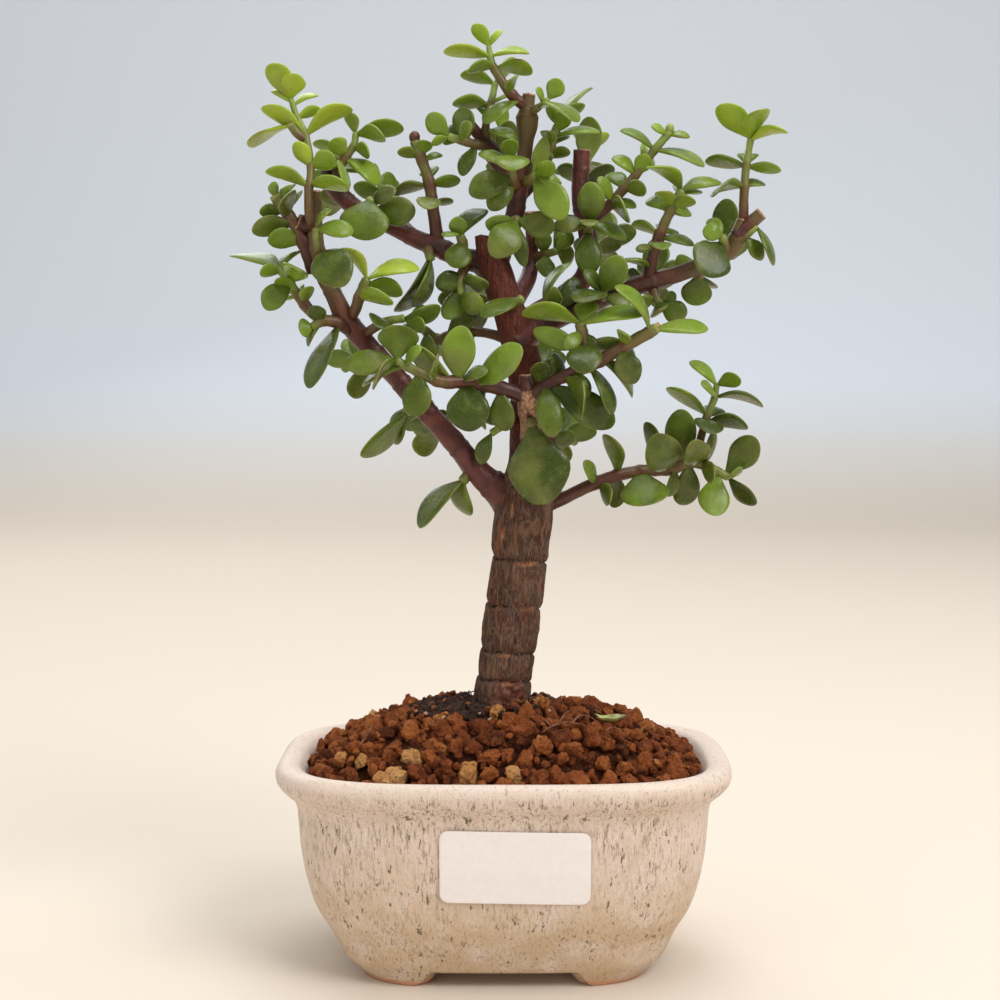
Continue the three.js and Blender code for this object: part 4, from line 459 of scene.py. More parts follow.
def tube(path: Array, sides: int, swell: Array | float = 1.0, tint: Array | float = 0.0, look: int = 0,
         blunt: bool = False, rim: Array | float = 0.0) -> Shell:
    """A round stem along a path, its rings carried along without twist.

    Args:
        path: rows of x, y, z, radius.
        sides: points round it.
        swell: factor on the radius by ring and place, or one for all.
        tint: value by ring and place, or one for all.
        look: which finish it takes.
        blunt: whether its end is cut, rough and a little sunk, instead of rounded.
        rim: value by ring and place, or one for all.

    Returns:
        The shell, faces outwards.
    """
    points, radius = path[:, :3], path[:, 3]
    ways = unit(np.gradient(points, axis=0))
    across = np.empty_like(ways)
    side = UP if abs(ways[0, 2]) < 0.9 else np.array([1.0, 0, 0])
    for i, way in enumerate(ways):
        side = unit(side - side.dot(way) * way)
        across[i] = side
    other = np.cross(ways, across)
    angle = turns(sides)
    r = radius[:, None] * np.broadcast_to(swell, (len(path), sides))
    rings = (points[:, None] + r[..., None] * (across[:, None] * np.cos(angle)[None, :, None]
                                               + other[:, None] * np.sin(angle)[None, :, None]))
    end = points[-1] + ways[-1] * radius[-1] * 0.6
    start = points[0] - ways[0] * radius[0] * 0.3
    tint, rim = (np.array(np.broadcast_to(value, (len(path), sides)), float) for value in (tint, rim))
    if blunt:
        tint[-2:] = np.maximum(tint[-2:], [[1.5], [1.9]])
        end = points[-1] - ways[-1] * radius[-1] * 0.22
        last = rings[-1] - points[-1]
        # Rings on the cut: the share of the radius, how many radii deep, and the tint of wood or its heart.
        for share, deep, mark in ((0.94, -0.04, 2.0), (0.6, 0.1, 2.0), (0.28, 0.2, 3.0)):
            rough = 0.13 * lumps(rings[-1], 0.9, 71) - deep
            inner = points[-1] + last * share + ways[-1] * (rough * radius[-1])[:, None]
            rings = np.concatenate([rings, inner[None]])
            tint = np.concatenate([tint, np.full((1, sides), mark)])
            rim = np.concatenate([rim, np.zeros((1, sides))])
    return ring_stack(rings, start, end, tint, rim, look)


def make_piece(name: str, shells: list[Shell], finishes: list[Material], node: str) -> None:
    """Makes one object of shells, which rides on the one body and stands for a CAD node.

    Args:
        name: the piece's name.
        shells: its closed surfaces, in mm.
        finishes: its materials, by the shells' look numbers.
        node: the CAD node that it stands for.
    """
    starts = np.cumsum([0] + [len(s.points) for s in shells])
    faces = {kind: [getattr(s, kind) for s in shells] for kind in ("quads", "triangles")}
    quads, triangles = (np.concatenate([f + k for f, k in zip(each, starts)]) for each in faces.values())
    looks, smooth = (np.concatenate([np.full(len(f), getattr(s, key)) for each in faces.values()
                                     for s, f in zip(shells, each)]) for key in ("look", "smooth"))
    corners = np.concatenate([quads.ravel(), triangles.ravel()]).astype(np.int32)
    begins = np.concatenate([np.arange(len(quads)) * 4, len(quads) * 4 + np.arange(len(triangles)) * 3])
    points = np.concatenate([s.points for s in shells]) + UP * FEET_HIGH
    mesh = bpy.data.meshes.new(name)
    mesh.vertices.add(len(points))
    mesh.vertices.foreach_set("co", (points * MM).astype(np.float32).ravel())
    mesh.loops.add(len(corners))
    mesh.loops.foreach_set("vertex_index", corners)
    mesh.polygons.add(len(begins))
    mesh.polygons.foreach_set("loop_start", begins.astype(np.int32))
    mesh.polygons.foreach_set("material_index", looks.astype(np.int32))
    mesh.polygons.foreach_set("use_smooth", smooth)
    mesh.update(calc_edges=True)
    for key in ("tint", "rim"):
        values = np.concatenate([getattr(s, key) for s in shells])
        mesh.attributes.new(key, "FLOAT", "POINT").data.foreach_set("value", values.astype(np.float32))
    for finish in finishes:
        mesh.materials.append(finish)
    piece = bpy.data.objects.new(name, mesh)
    bpy.context.scene.collection.objects.link(piece)
    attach(piece, "root")
    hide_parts(node)
    LOG.info("%s: %d points, %d faces", name, len(points), len(begins))


@dataclass
class Leaf:
    """A leaf's place and size, in mm.

    Attributes:
        root: where it leaves its stem's middle line.
        along: the way from root to tip.
        face: the way its upper side looks.
        side: the way across it.
        long: length.
        wide: greatest width.
        thick: greatest thickness.
        arch: rise of its middle, as a share of its length.
        youth: 0 for an old leaf, 1 for one that has just opened.
    """

    root: Array
    along: Array
    face: Array
    side: Array
    long: float
    wide: float
    thick: float
    arch: float
    youth: float = 0.0

    @staticmethod
    def outline(u: Array) -> Array:
        """Half width as a share of the greatest: the sine of pi u^1.3, to the power 0.52."""
        return np.clip(np.sin(np.pi * np.clip(u, 0, 1) ** 1.3), 0, None) ** 0.52

    def at(self, u: Array | float, across: Array | float, up: Array | float) -> Array:
        """Points at a share u of its length, a way across it and above its arched middle surface."""
        u, across, up = (np.asarray(v, float)[..., None] for v in (u, across, up))
        rise = self.arch * self.long * 4 * u * (1 - u)
        return self.root + self.along * (self.long * u) + self.face * (rise + up) + self.side * across

    def posed(self, swing: float, lift: float, share: float) -> "Leaf":
        """The leaf swung in its own plane, then lifted out of it, and made smaller; angles in degrees."""
        turn, tip = math.radians(swing), math.radians(lift)
        along = self.along * math.cos(turn) + self.side * math.sin(turn)
        side = self.side * math.cos(turn) - self.along * math.sin(turn)
        raised = along * math.cos(tip) + self.face * math.sin(tip)
        face = self.face * math.cos(tip) - along * math.sin(tip)
        return Leaf(self.root, raised, face, side, self.long * share, self.wide * share, self.thick,
                    self.arch, self.youth)

    def balls(self) -> tuple[Array, Array]:
        """The middles of the balls that stand for it, in rows across it, and which are on its outer part."""
        outer_part, least = 0.45, 0.16
        rows = max(3, math.ceil(self.long / LEAF_STEP))
        columns = max(1, math.ceil(self.wide / 2 / LEAF_STEP))
        u = np.arange(1, rows + 1)[:, None] / rows
        wide = self.wide / 2 * np.maximum(self.outline(u), least)
        across = wide * np.arange(-columns, columns + 1)[None, :] / columns
        u = np.broadcast_to(u, across.shape)
        return self.at(u, across, 0 * u).reshape(-1, 3), (u > outer_part).ravel()


def turn_between(a: Array, b: Array, axis: Array) -> float:
    """The angle from one way to another about an axis that is square to both."""
    return math.atan2(axis.dot(np.cross(a, b)), a.dot(b))


def spun(way: Array, axis: Array, angle: float) -> Array:
    """A way that is square to an axis, turned about it."""
    return way * math.cos(angle) + np.cross(axis, way) * math.sin(angle)


def leaf_from(root: Array, tip: Array, seen_wide: float, turn: float, stem_way: Array, arch: float) -> Leaf:
    """A leaf from its root, tip and the width that it shows to the front.

    A leaf is at least LEAF_RATIO as wide as long. One that was read narrower, and isn't turned SLANT degrees or
    more, is seen at a slant, so it is turned farther from the front until it shows the width that was read.

    Args:
        root: where it starts.
        tip: where it ends.
        seen_wide: the width that it shows.
        turn: turn about its length: at 0 it faces along its stem, and at 90 to the front or straight away.
        stem_way: the way its stem runs there.
        arch: rise of its middle, as a share of its length.

    Returns:
        The leaf.
    """
    along = tip - root
    long = float(np.linalg.norm(along))
    along = along / long
    front = unit(FRONT + along * along[1])
    face = stem_way - stem_way.dot(along) * along
    if np.linalg.norm(face) < 0.3:
        face = front
    face = unit(face)
    if front.dot(face) < 0:
        front = -front
    face = spun(face, along, turn_between(face, front, along) * turn / 90)
    wide = max(seen_wide, LEAF_RATIO * long) if turn < SLANT else seen_wide
    shown = min(1.0, face.dot(front))
    farther = math.acos(shown * seen_wide / wide) - math.acos(shown)
    face = spun(face, along, -farther if turn_between(face, front, along) > 0 else farther)
    # A leaf of 7.2 mm width or more is 1.9 mm thick, and a narrower one less.
    thick = 1.9 * min(1.0, 0.55 + wide / 16)
    return Leaf(root, along, face, unit(np.cross(along, face)), long, wide, thick, arch)


@dataclass
class Stem:
    """One stem of a shoot, with its leaves as read and as settled.

    Attributes:
        name: the shoot's name.
        knots: rows of x, y, z, radius.
        wanted: leaves as place, tip, width, turn.
        leaves: the leaves that found room.
    """

    name: str
    knots: Array
    wanted: list[tuple[float, Array, float, float]]
    leaves: list[Leaf] = field(default_factory=list)

    def on(self, share: float) -> tuple[Array, Array]:
        """The point and the way of its straight-line path at a share of its length."""
        points = self.knots[:, :3]
        steps = np.linalg.norm(np.diff(points, axis=0), axis=1)
        left = share * steps.sum()
        i = 0
        while left > steps[i] and i < len(steps) - 1:
            left -= steps[i]
            i += 1
        stretch = points[i + 1] - points[i]
        return points[i] + stretch * min(1.0, left / steps[i]), stretch / steps[i]


def stem_balls(knots: Array) -> tuple[Array, Array]:
    """Middles and radii of the balls, at most STEM_STEP apart, that stand for a stem."""
    middles, radii = [], []
    for a, b in zip(knots[:-1], knots[1:]):
        count = max(1, math.ceil(np.linalg.norm(b[:3] - a[:3]) / STEM_STEP))
        rows = a + (b - a) * (np.arange(count + 1)[:, None] / count)
        middles.append(rows[:, :3])
        radii.append(rows[:, 3])
    return np.concatenate(middles), np.concatenate(radii)


class Growth:
    """Places every leaf by the same rule and draws as the part's source, so both have the same shoots."""

    def __init__(self) -> None:
        """Lists the stems, then settles their leaves one by one."""
        random = Draws(SEED + 2)
        self.stems = [Stem(name, self.true_rows(stem), [(leaf[0], seen(leaf[1:4]), leaf[4], leaf[5])
                                                        for leaf in leaves]) for name, stem, leaves in SHOOTS]
        self.stems += [self.back_stem(row, i, random) for i, row in enumerate(BACK_SHOOTS)]
        self.settle(random)

    @staticmethod
    def true_rows(rows: list[list[float]]) -> Array:
        """Rows of x, y, z, radius with the points moved to their true places."""
        rows = np.array(rows, float)
        return np.hstack([seen(rows[:, :3]), rows[:, 3:]])

    @staticmethod
    def back_stem(row: list, number: int, random: Draws) -> Stem:
        """A shoot at the back, with pairs of leaves, each a quarter turn from the one below.

        It bends up by 0.14 of its length times the share along it squared, and thins from 1.6 to 0.9 mm radius.
        The pairs are about 8.2 mm apart. Their leaves are 14 mm long, 5 mm less for each unit that twice the
        climb is off 0.8, and 0.56 as wide, and they lean along the stem by a drawn angle.

        Args:
            row: its root, its way and its length.
            number: its place in the list.
            random: the draws.

        Returns:
            The stem.
        """
        root, way, long = np.array(row[0], float), unit(np.array(row[1], float)), row[2]
        share = np.array([0, 0.25, 0.5, 0.75, 1])[:, None]
        knots = np.hstack([root + way * (long * share) + UP * (0.14 * long * share**2), 1.6 - 0.7 * share])
        stem = Stem(f"back_{number + 1}", knots, [])
        flat = unit(np.cross(way, UP))
        pairs = math.floor(long / 8.2 + 0.5)
        for k in range(pairs):
            climb = k / (pairs - 1)
            place = 0.34 + 0.64 * climb
            at, stem_way = stem.on(place)
            upright = unit(np.cross(flat, stem_way))
            size = 14 - 5 * abs(2 * climb - 0.8)
            for sign in (-1, 1):
                reach = size * (0.9 + 0.2 * random())
                lift = 0.6 + 0.3 * random()
                out = (upright if k % 2 else flat) * (sign * math.cos(lift)) + stem_way * math.sin(lift)
                stem.wanted.append((place, at + out * reach, 0.56 * reach, 0.0))
        return stem

    def settle(self, random: Draws) -> None:
        """Gives each leaf the first of its poses that clears the wood, the stems and the leaves before it."""
        trunk = np.array([[x, 0, z, r] for z, x, r in TRUNK], float)
        balls = [(*stem_balls(rows), -1) for rows in [trunk] + [self.true_rows(rows) for rows in LIMBS]]
        names = {stem.name: i for i, stem in enumerate(self.stems)}
        balls += [(*stem_balls(stem.knots), names[stem.name]) for stem in self.stems]
        middles = np.concatenate([b[0] for b in balls])
        radii = np.concatenate([b[1] for b in balls])
        owners = np.concatenate([np.full(len(b[0]), b[2]) for b in balls])
        outer = np.zeros(len(middles), bool)
        for stem in self.stems:
            for place, tip, wide, turn in stem.wanted:
                at, way = stem.on(place)
                leaf = leaf_from(at, tip, wide, turn, way, 0.03 + 0.13 * random())
                for pose in POSES:
                    tried = leaf.posed(*pose)
                    if self.clear(tried, names[stem.name], middles, radii, owners, outer):
                        break
                else:
                    continue
                tried.youth = place
                stem.leaves.append(tried)
                new, is_outer = tried.balls()
                middles = np.concatenate([middles, new])
                radii = np.concatenate([radii, np.full(len(new), tried.thick / 2)])
                owners = np.concatenate([owners, np.full(len(new), names[stem.name])])
                outer = np.concatenate([outer, is_outer])

    @staticmethod
    def clear(leaf: Leaf, owner: int, middles: Array, radii: Array, owners: Array, outer: Array) -> bool:
        """Whether no ball of a leaf comes within LEAF_GAP of another's; in one spray only outer ones count."""
        samples, sample_outer = leaf.balls()
        middle = leaf.at(0.5, 0.0, 0.0)
        # Balls that are too far from the leaf's middle to matter are left out first.
        near = np.linalg.norm(middles - middle, axis=1) <= leaf.long * 0.75 + radii + 2
        near &= (owners != owner) | outer
        if not near.any():
            return True
        gap = np.linalg.norm(middles[near][:, None] - samples[None], axis=2)
        touch = gap < (radii[near][:, None] + leaf.thick / 2 + LEAF_GAP)
        touch &= (owners[near] != owner)[:, None] | sample_outer[None]
        return not touch.any()


def linear(colour: str) -> tuple[float, float, float, float]:
    """An sRGB hex colour as linear red, green, blue and a full alpha."""
    values = [int(colour[i:i + 2], 16) / 255 for i in (1, 3, 5)]
    return (*(v / 12.92 if v <= 0.04045 else ((v + 0.055) / 1.055) ** 2.4 for v in values), 1.0)


class Pattern(Enum):
    """How a pattern of noise is stretched: the share of its size along x, y and z."""

    EVEN = (1.0, 1.0, 1.0)
    UPRIGHT = (1.0, 1.0, 0.22)
    LONG = (1.0, 1.0, 0.15)
    DASH = (1.0, 1.0, 0.3)


class Surface:
    """A material in the making: one method adds its nodes, and the others make patterns and layers of colour."""

    def __init__(self, name: str, roughness: float, ior: float, **sockets: float | tuple) -> None:
        """Starts a Principled material.

        Args:
            name: what the real material is.
            roughness: its roughness.
            ior: its refractive index.
            sockets: other values, by socket name with _ for a space.
        """
        self.material = bpy.data.materials.new(name)
        self.material.use_nodes = True
        self.tree = self.material.node_tree
        self.shader = self.tree.nodes["Principled BSDF"]
        for key, value in {"Roughness": roughness, "IOR": ior, **sockets}.items():
            self.shader.inputs[key.replace("_", " ")].default_value = value
        self.where = self.add("TexCoord", output="Object")

    def add(self, kind: str, inputs: dict | None = None, output: int | str = 0, **settings: object) -> Socket:
        """Adds a node.

        Args:
            kind: the node's type, without its ShaderNode start.
            inputs: by name or number, a value or the output of another node.
            output: the output that is wanted, by name or number.
            settings: the node's own properties; stops are a colour ramp's places and colours.

        Returns:
            The output.
        """
        made = self.tree.nodes.new("ShaderNode" + kind)
        stops = settings.pop("stops", ())
        for key, value in settings.items():
            setattr(made, key, value)
        for _ in stops[2:]:
            made.color_ramp.elements.new(0.5)
        for k, (place, colour) in enumerate(stops):
            made.color_ramp.elements[k].position = place
            made.color_ramp.elements[k].color = linear(colour)
        for key, value in (inputs or {}).items():
            if isinstance(value, Socket):
                self.tree.links.new(value, made.inputs[key])
            else:
                made.inputs[key].default_value = linear(value) if isinstance(value, str) else value
        return made.outputs[output]

    def noise(self, size: float, detail: float = 4.0, rough: float = 0.55, shift: float = 0.0,
              pattern: Pattern = Pattern.EVEN) -> Socket:
        """Noise whose lumps are about a size in mm, stretched by a pattern, with finer detail in it."""
        scale = tuple(share / (size * MM) for share in pattern.value)
        where = self.add("Mapping", {"Vector": self.where, "Scale": scale, "Location": (shift, 0, 0)})
        return self.add("TexNoise", {"Vector": where, "Scale": 1.0, "Detail": detail, "Roughness": rough})

    def cells(self, size: float, shift: float = 0.0) -> Socket:
        """Distance from the middles of scattered cells that are about a size in mm apart, in cells."""
        where = self.add("Mapping", {"Vector": self.where, "Scale": (1 / (size * MM),) * 3, "Location": (shift, 0, 0)})
        return self.add("TexVoronoi", {"Vector": where, "Scale": 1.0}, "Distance")

    def threads(self, size: float, shift: float) -> Socket:
        """0 along wavy upright threads, where noise of a size in mm crosses its middle, and more beside them."""
        off = self.swing(self.noise(size, 2.0, 0.5, shift, Pattern.UPRIGHT))
        return self.add("Math", {0: off, 1: 0.0}, operation="ABSOLUTE")

    def swing(self, noise: Socket, times: float | None = None) -> Socket:
        """Noise moved to lie about 0, and taken times a factor if there is one."""
        off = self.add("Math", {0: noise, 1: 0.5}, operation="SUBTRACT")
        return off if times is None else self.times(off, times)

    def times(self, value: Socket, *others: Socket | float) -> Socket:
        """A value times others."""
        for other in others:
            value = self.add("Math", {0: value, 1: other}, operation="MULTIPLY")
        return value

    def plus(self, a: Socket | float, b: Socket | float, times: float | None = None) -> Socket:
        """One value and another, which is taken times a factor if there is one."""
        return self.add("Math", {0: a, 1: b if times is None else self.times(b, times)}, operation="ADD")

    def less(self, value: Socket, times: float) -> Socket:
        """1 less a value times a factor."""
        return self.add("Math", {0: 1.0, 1: self.times(value, times)}, operation="SUBTRACT")

    def share(self, value: Socket, low: float, high: float, most: float = 1.0) -> Socket:
        """0 at low and most at high, eased between."""
        return self.add("MapRange", {"Value": value, "From Min": low, "From Max": high, "To Max": most},
                        interpolation_type="SMOOTHSTEP")

    def over(self, under: Socket | str, value: Socket, low: float, high: float, top: Socket | str,
             most: float = 1.0, masks: tuple[Socket, ...] = ()) -> Socket:
        """Lays a colour over another.

        Args:
            under: the colour below.
            value: what decides where the layer lies.
            low: the value where there is none of it.
            high: the value where there is the most of it.
            top: its colour.
            most: its share there.
            masks: values that its share is taken times.

        Returns:
            The colour.
        """
        share = self.times(self.share(value, low, high, most), *masks)
        return self.add("Mix", {0: share, 6: under, 7: top}, 2, data_type="RGBA")

    def finish(self, colour: Socket, bump: Socket | None = None, deep: float = 0.0,
               rough: Socket | None = None) -> Material:
        """Sets the colour, the relief and a roughness that changes.

        Args:
            colour: the base colour.
            bump: height of the relief, from 0 to 1.
            deep: its full depth in mm.
            rough: roughness where it isn't even.

        Returns:
            The finished material.
        """
        self.tree.links.new(colour, self.shader.inputs["Base Color"])
        if bump is not None:
            relief = self.add("Bump", {"Strength": 1.0, "Distance": deep * MM, "Height": bump})
            self.tree.links.new(relief, self.shader.inputs["Normal"])
        if rough is not None:
            self.tree.links.new(rough, self.shader.inputs["Roughness"])
        return self.material


@dataclass(frozen=True)
class Glaze:
    """Stoneware dipped in a matt ash glaze and fired: a soft sheen, upright streaks and specks where iron bled through
    the glaze, a lip painted paler as a highlight where the light from above falls on it, ochre where it lies thin, and
    bare salmon clay under the feet. The heights between which the lip, the thin glaze and the bare clay begin are in
    metres."""

    cream: str = "#dac4b2"
    pink: str = "#dfcbbd"
    shadow: str = "#c4ae93"
    streak: str = "#a08c72"
    pale: str = "#eee2d8"
    ochre: str = "#bf9f70"
    # Colour of the painted highlight on the lip.
    lip: str = "#e6d4c3"
    dust: str = "#a5907a"
    speck: str = "#665237"
    dash: str = "#7d694b"
    iron: str = "#73502f"
    clay: str = "#cf9a76"
    lip_heights: tuple[float, float] = (0.0560, 0.0592)
    thin_heights: tuple[float, float] = (0.046, 0.010)
    bare_heights: tuple[float, float] = (0.0050, 0.0044)

    def build(self) -> Material:
        """The material."""
        s = Surface("matt ash glaze on stoneware", 0.45, 1.5)
        cloud = s.noise(15, 3)
        colour = s.over(self.cream, cloud, 0.35, 0.68, self.pink)
        colour = s.over(colour, s.noise(6, 3, 0.6, 5, Pattern.UPRIGHT), 0.5, 0.72, self.shadow, 0.4)
        height = s.add("SeparateXYZ", {0: s.where}, "Z")
        lip = s.share(height, *self.lip_heights)
        wall = s.less(lip, 0.85)
        clump = s.plus(s.share(s.noise(11, 2, 0.5, 9), 0.3, 0.62), 0.25)
        streak = s.noise(0.8, 4, 0.75, 0, Pattern.LONG)
        colour = s.over(colour, streak, 0.5, 0.62, self.streak, 0.75, (wall, clump))
        colour = s.over(colour, s.noise(0.8, 4, 0.7, 31, Pattern.LONG), 0.52, 0.68, self.pale, 0.5)
        low = s.share(height, *self.thin_heights)
        colour = s.over(colour, s.noise(10, 3, 0.5, 7), 0.24, 0.64, self.ochre, 0.66, (low,))
        # Painted highlight: the lip is paler by height, where the light from above falls on it.
        colour = s.over(colour, lip, 0.2, 1.0, self.lip, 0.45)
        colour = s.over(colour, s.noise(0.55, 2, 0.5, 61), 0.57, 0.68, self.dust, 0.45)
        many = s.swing(s.noise(9, 3, 0.6, 3), 0.28)
        short = s.plus(s.noise(1.25, 3, 0.64, 51, Pattern.DASH), many)
        colour = s.over(colour, short, 0.625, 0.675, self.speck, 0.9, (s.plus(0.3, wall, 0.7),))
        long = s.plus(s.noise(0.7, 3, 0.6, 17, Pattern.LONG), many)
        colour = s.over(colour, long, 0.62, 0.7, self.dash, 0.6, (wall,))
        colour = s.over(colour, s.plus(s.cells(11.0, 23), s.noise(1.2), 0.1), 0.13, 0.09, self.iron, 0.7)
        edge = s.plus(height, s.noise(13, 3, 0.6, 41), 0.006)
        colour = s.over(colour, edge, *self.bare_heights, self.clay)
        bump = s.plus(s.times(s.noise(1.6), 0.8), s.noise(5, 2, pattern=Pattern.UPRIGHT), 0.6)
        return s.finish(colour, bump, 0.14, s.plus(0.34, cloud, 0.25))


@dataclass(frozen=True)
class ClayGrain:
    """Fired clay grains, crushed and sieved: dull, pitted and dusty, each its own shade from rust to tan, with a
    white crumb here and there."""

    shades: tuple[tuple[float, str], ...] = ((0.0, "#3c1d0f"), (0.22, "#6c371c"), (0.5, "#97522a"), (0.78, "#ac6634"),
                                             (0.86, "#c78a50"), (0.95, "#d8a368"), (1.0, "#dccfbd"))
    # Colour of the painted shade in the pits.
    pit_shade: str = "#3a1c0e"
    dust: str = "#bd7a44"

    def build(self) -> Material:
        """The material. tint is a grain's shade."""
        s = Surface("fired clay grains", 0.95, 1.4, Specular_IOR_Level=0.25)
        pits = s.noise(0.9, 5, 0.75)
        tint = s.add("Attribute", output="Fac", attribute_name="tint")
        # Darker where the pitted relief is low, since the same noise is the bump: painted shade in the pits.
        colour = s.over(s.add("ValToRGB", {0: tint}, stops=self.shades), pits, 0.5, 0.36, self.pit_shade, 0.7)
        return s.finish(s.over(colour, s.noise(1.3, 4, 0.65, 9), 0.55, 0.75, self.dust, 0.4), pits, 1.1)


@dataclass(frozen=True)
class Peat:
    """Damp peat: near black and crumbly, with brown in it; its colour follows its relief, browner where it stands high
    and darker where it is low, partly its own mottle and partly painted light and shade.
    """

    shades: tuple[tuple[float, str], ...] = ((0.34, "#1e130d"), (0.5, "#3a251b"), (0.66, "#573828"))

    def build(self) -> Material:
        """The material."""
        s = Surface("peat", 0.9, 1.4)
        grain = s.noise(1.3, 5, 0.75)
        # One noise gives both colour and relief: partly the peat's own mottle, partly painted shade in the low places
        # and painted light on the high ones.
        return s.finish(s.add("ValToRGB", {0: grain}, stops=self.shades), grain, 1.0)


@dataclass(frozen=True)
class Bark:
    """Old bark of the trunk: dry, with a net of fine wavy upright ridges, paler on their crests; grey-brown
    where weathered, red-brown below and where it is young, and copper or tan where it has peeled."""

    grey: str = "#544036"
    brown: str = "#5c3626"
    young: str = "#73382b"
    groove: str = "#2e1c13"
    thread: str = "#8b6e58"
    crest: str = "#86654f"
    # Colour of each ring's crease: partly its own dark line, partly painted shade.
    crease_line_and_shade: str = "#24150e"
    peeled: tuple[tuple[float, str], ...] = ((0.38, "#6f3f2a"), (0.54, "#94613f"), (0.7, "#b58a64"))

    def build(self) -> Material:
        """The material. tint is 0 in the crease under a ring, painted dark partly as the ring's own line and partly as
        painted shade, 0.5 on plain bark, 1 on a crest and up to 2 where it has peeled; rim is how young the bark is."""
        s = Surface("ridged bark", 0.78, 1.45, Specular_IOR_Level=0.25)
        mark, young = (s.add("Attribute", output="Fac", attribute_name=key) for key in ("tint", "rim"))
        colour = s.over(self.grey, s.noise(7, 4, 0.6, 5), 0.4, 0.64, self.brown)
        colour = s.over(colour, young, 0.0, 0.9, self.young, 0.8)
        fibre = s.noise(0.6, 4, 0.65, 0, Pattern.UPRIGHT)
        # Darker where the fine fibre relief is low: partly the furrows' own dark bark, partly painted shade.
        colour = s.over(colour, fibre, 0.52, 0.36, self.groove, 0.65)
        old = s.times(s.less(young, 0.85), 0.45)
        colour = s.over(colour, s.threads(1.2, 11), 0.055, 0.0, self.thread, 1.0, (old,))
        colour = s.over(colour, mark, 0.65, 1.0, self.crest, 0.5)
        # Near black in each ring's crease: partly the ring's own dark line, partly painted shade.
        colour = s.over(colour, mark, 0.4, 0.1, self.crease_line_and_shade, 0.9)
        peeled = s.add("ValToRGB", {0: s.noise(2.2, 3, 0.6, 8, Pattern.UPRIGHT)}, stops=self.peeled)
        colour = s.over(colour, mark, 1.1, 1.8, peeled, 0.8)
        return s.finish(colour, s.plus(fibre, s.share(s.threads(1.3, 3), 0.07, 0.0)), 0.3)


@dataclass(frozen=True)
class LimbBark:
    """Young bark of the limbs: smooth, dark maroon-brown with a dull sheen and fine wrinkles along it, faintly
    ringed where leaves sat, and rough tan wood with a brown heart on cut ends."""

    red: str = "#6a342c"
    dark: str = "#42221d"
    olive: str = "#6a5a30"
    scuff: str = "#85543f"
    ring: str = "#2a1613"
    cut: str = "#bb9070"
    cut_dark: str = "#8a5a3c"
    heart: str = "#4a2a1c"

    def build(self) -> Material:
        """The material. tint is 1 on an old leaf ring, 2 on a cut end and 3 in its heart; rim is how olive the
        bark is, where it is young."""
        s = Surface("smooth limb bark", 0.38, 1.45)
        mark, young = (s.add("Attribute", output="Fac", attribute_name=key) for key in ("tint", "rim"))
        colour = s.over(self.red, s.noise(6, 4, 0.6), 0.36, 0.66, self.dark)
        olive = s.plus(young, s.swing(s.noise(5), 0.5))
        colour = s.over(colour, olive, 0.15, 0.9, self.olive, 0.85)
        fine = s.noise(1.0, 4, 0.65, 4)
        colour = s.over(colour, fine, 0.56, 0.76, self.scuff, 0.35)
        colour = s.over(colour, mark, 0.35, 1.0, self.ring, 0.35)
        wood = s.over(self.cut, s.noise(0.9, 3), 0.4, 0.62, self.cut_dark)
        colour = s.over(colour, mark, 1.4, 1.9, wood)
        return s.finish(s.over(colour, mark, 2.3, 3.0, self.heart, 0.85), fine, 0.22)


@dataclass(frozen=True)
class GreenStem:
    """Stems of this year and last: tight skin with a soft sheen, maroon-brown where old, then olive, then green,
    and rough tan wood on cut ends."""

    shades: tuple[tuple[float, str], ...] = ((0.0, "#43231c"), (0.35, "#5f3826"), (0.6, "#6b5a30"),
                                             (0.82, "#717638"), (1.0, "#8b9b46"))
    cut: str = "#b78d66"
    cut_dark: str = "#87583b"

    def build(self) -> Material:
        """The material. tint runs from 0 on old skin to 1 on new, and is 2 on a cut end."""
        s = Surface("young stem skin", 0.4, 1.45)
        mark = s.add("Attribute", output="Fac", attribute_name="tint")
        colour = s.add("ValToRGB", {0: s.plus(mark, s.swing(s.noise(3.5), 0.35))}, stops=self.shades)
        wood = s.over(self.cut, s.noise(0.9, 3), 0.4, 0.62, self.cut_dark)
        return s.finish(s.over(colour, mark, 1.4, 1.9, wood), s.noise(0.9), 0.12)


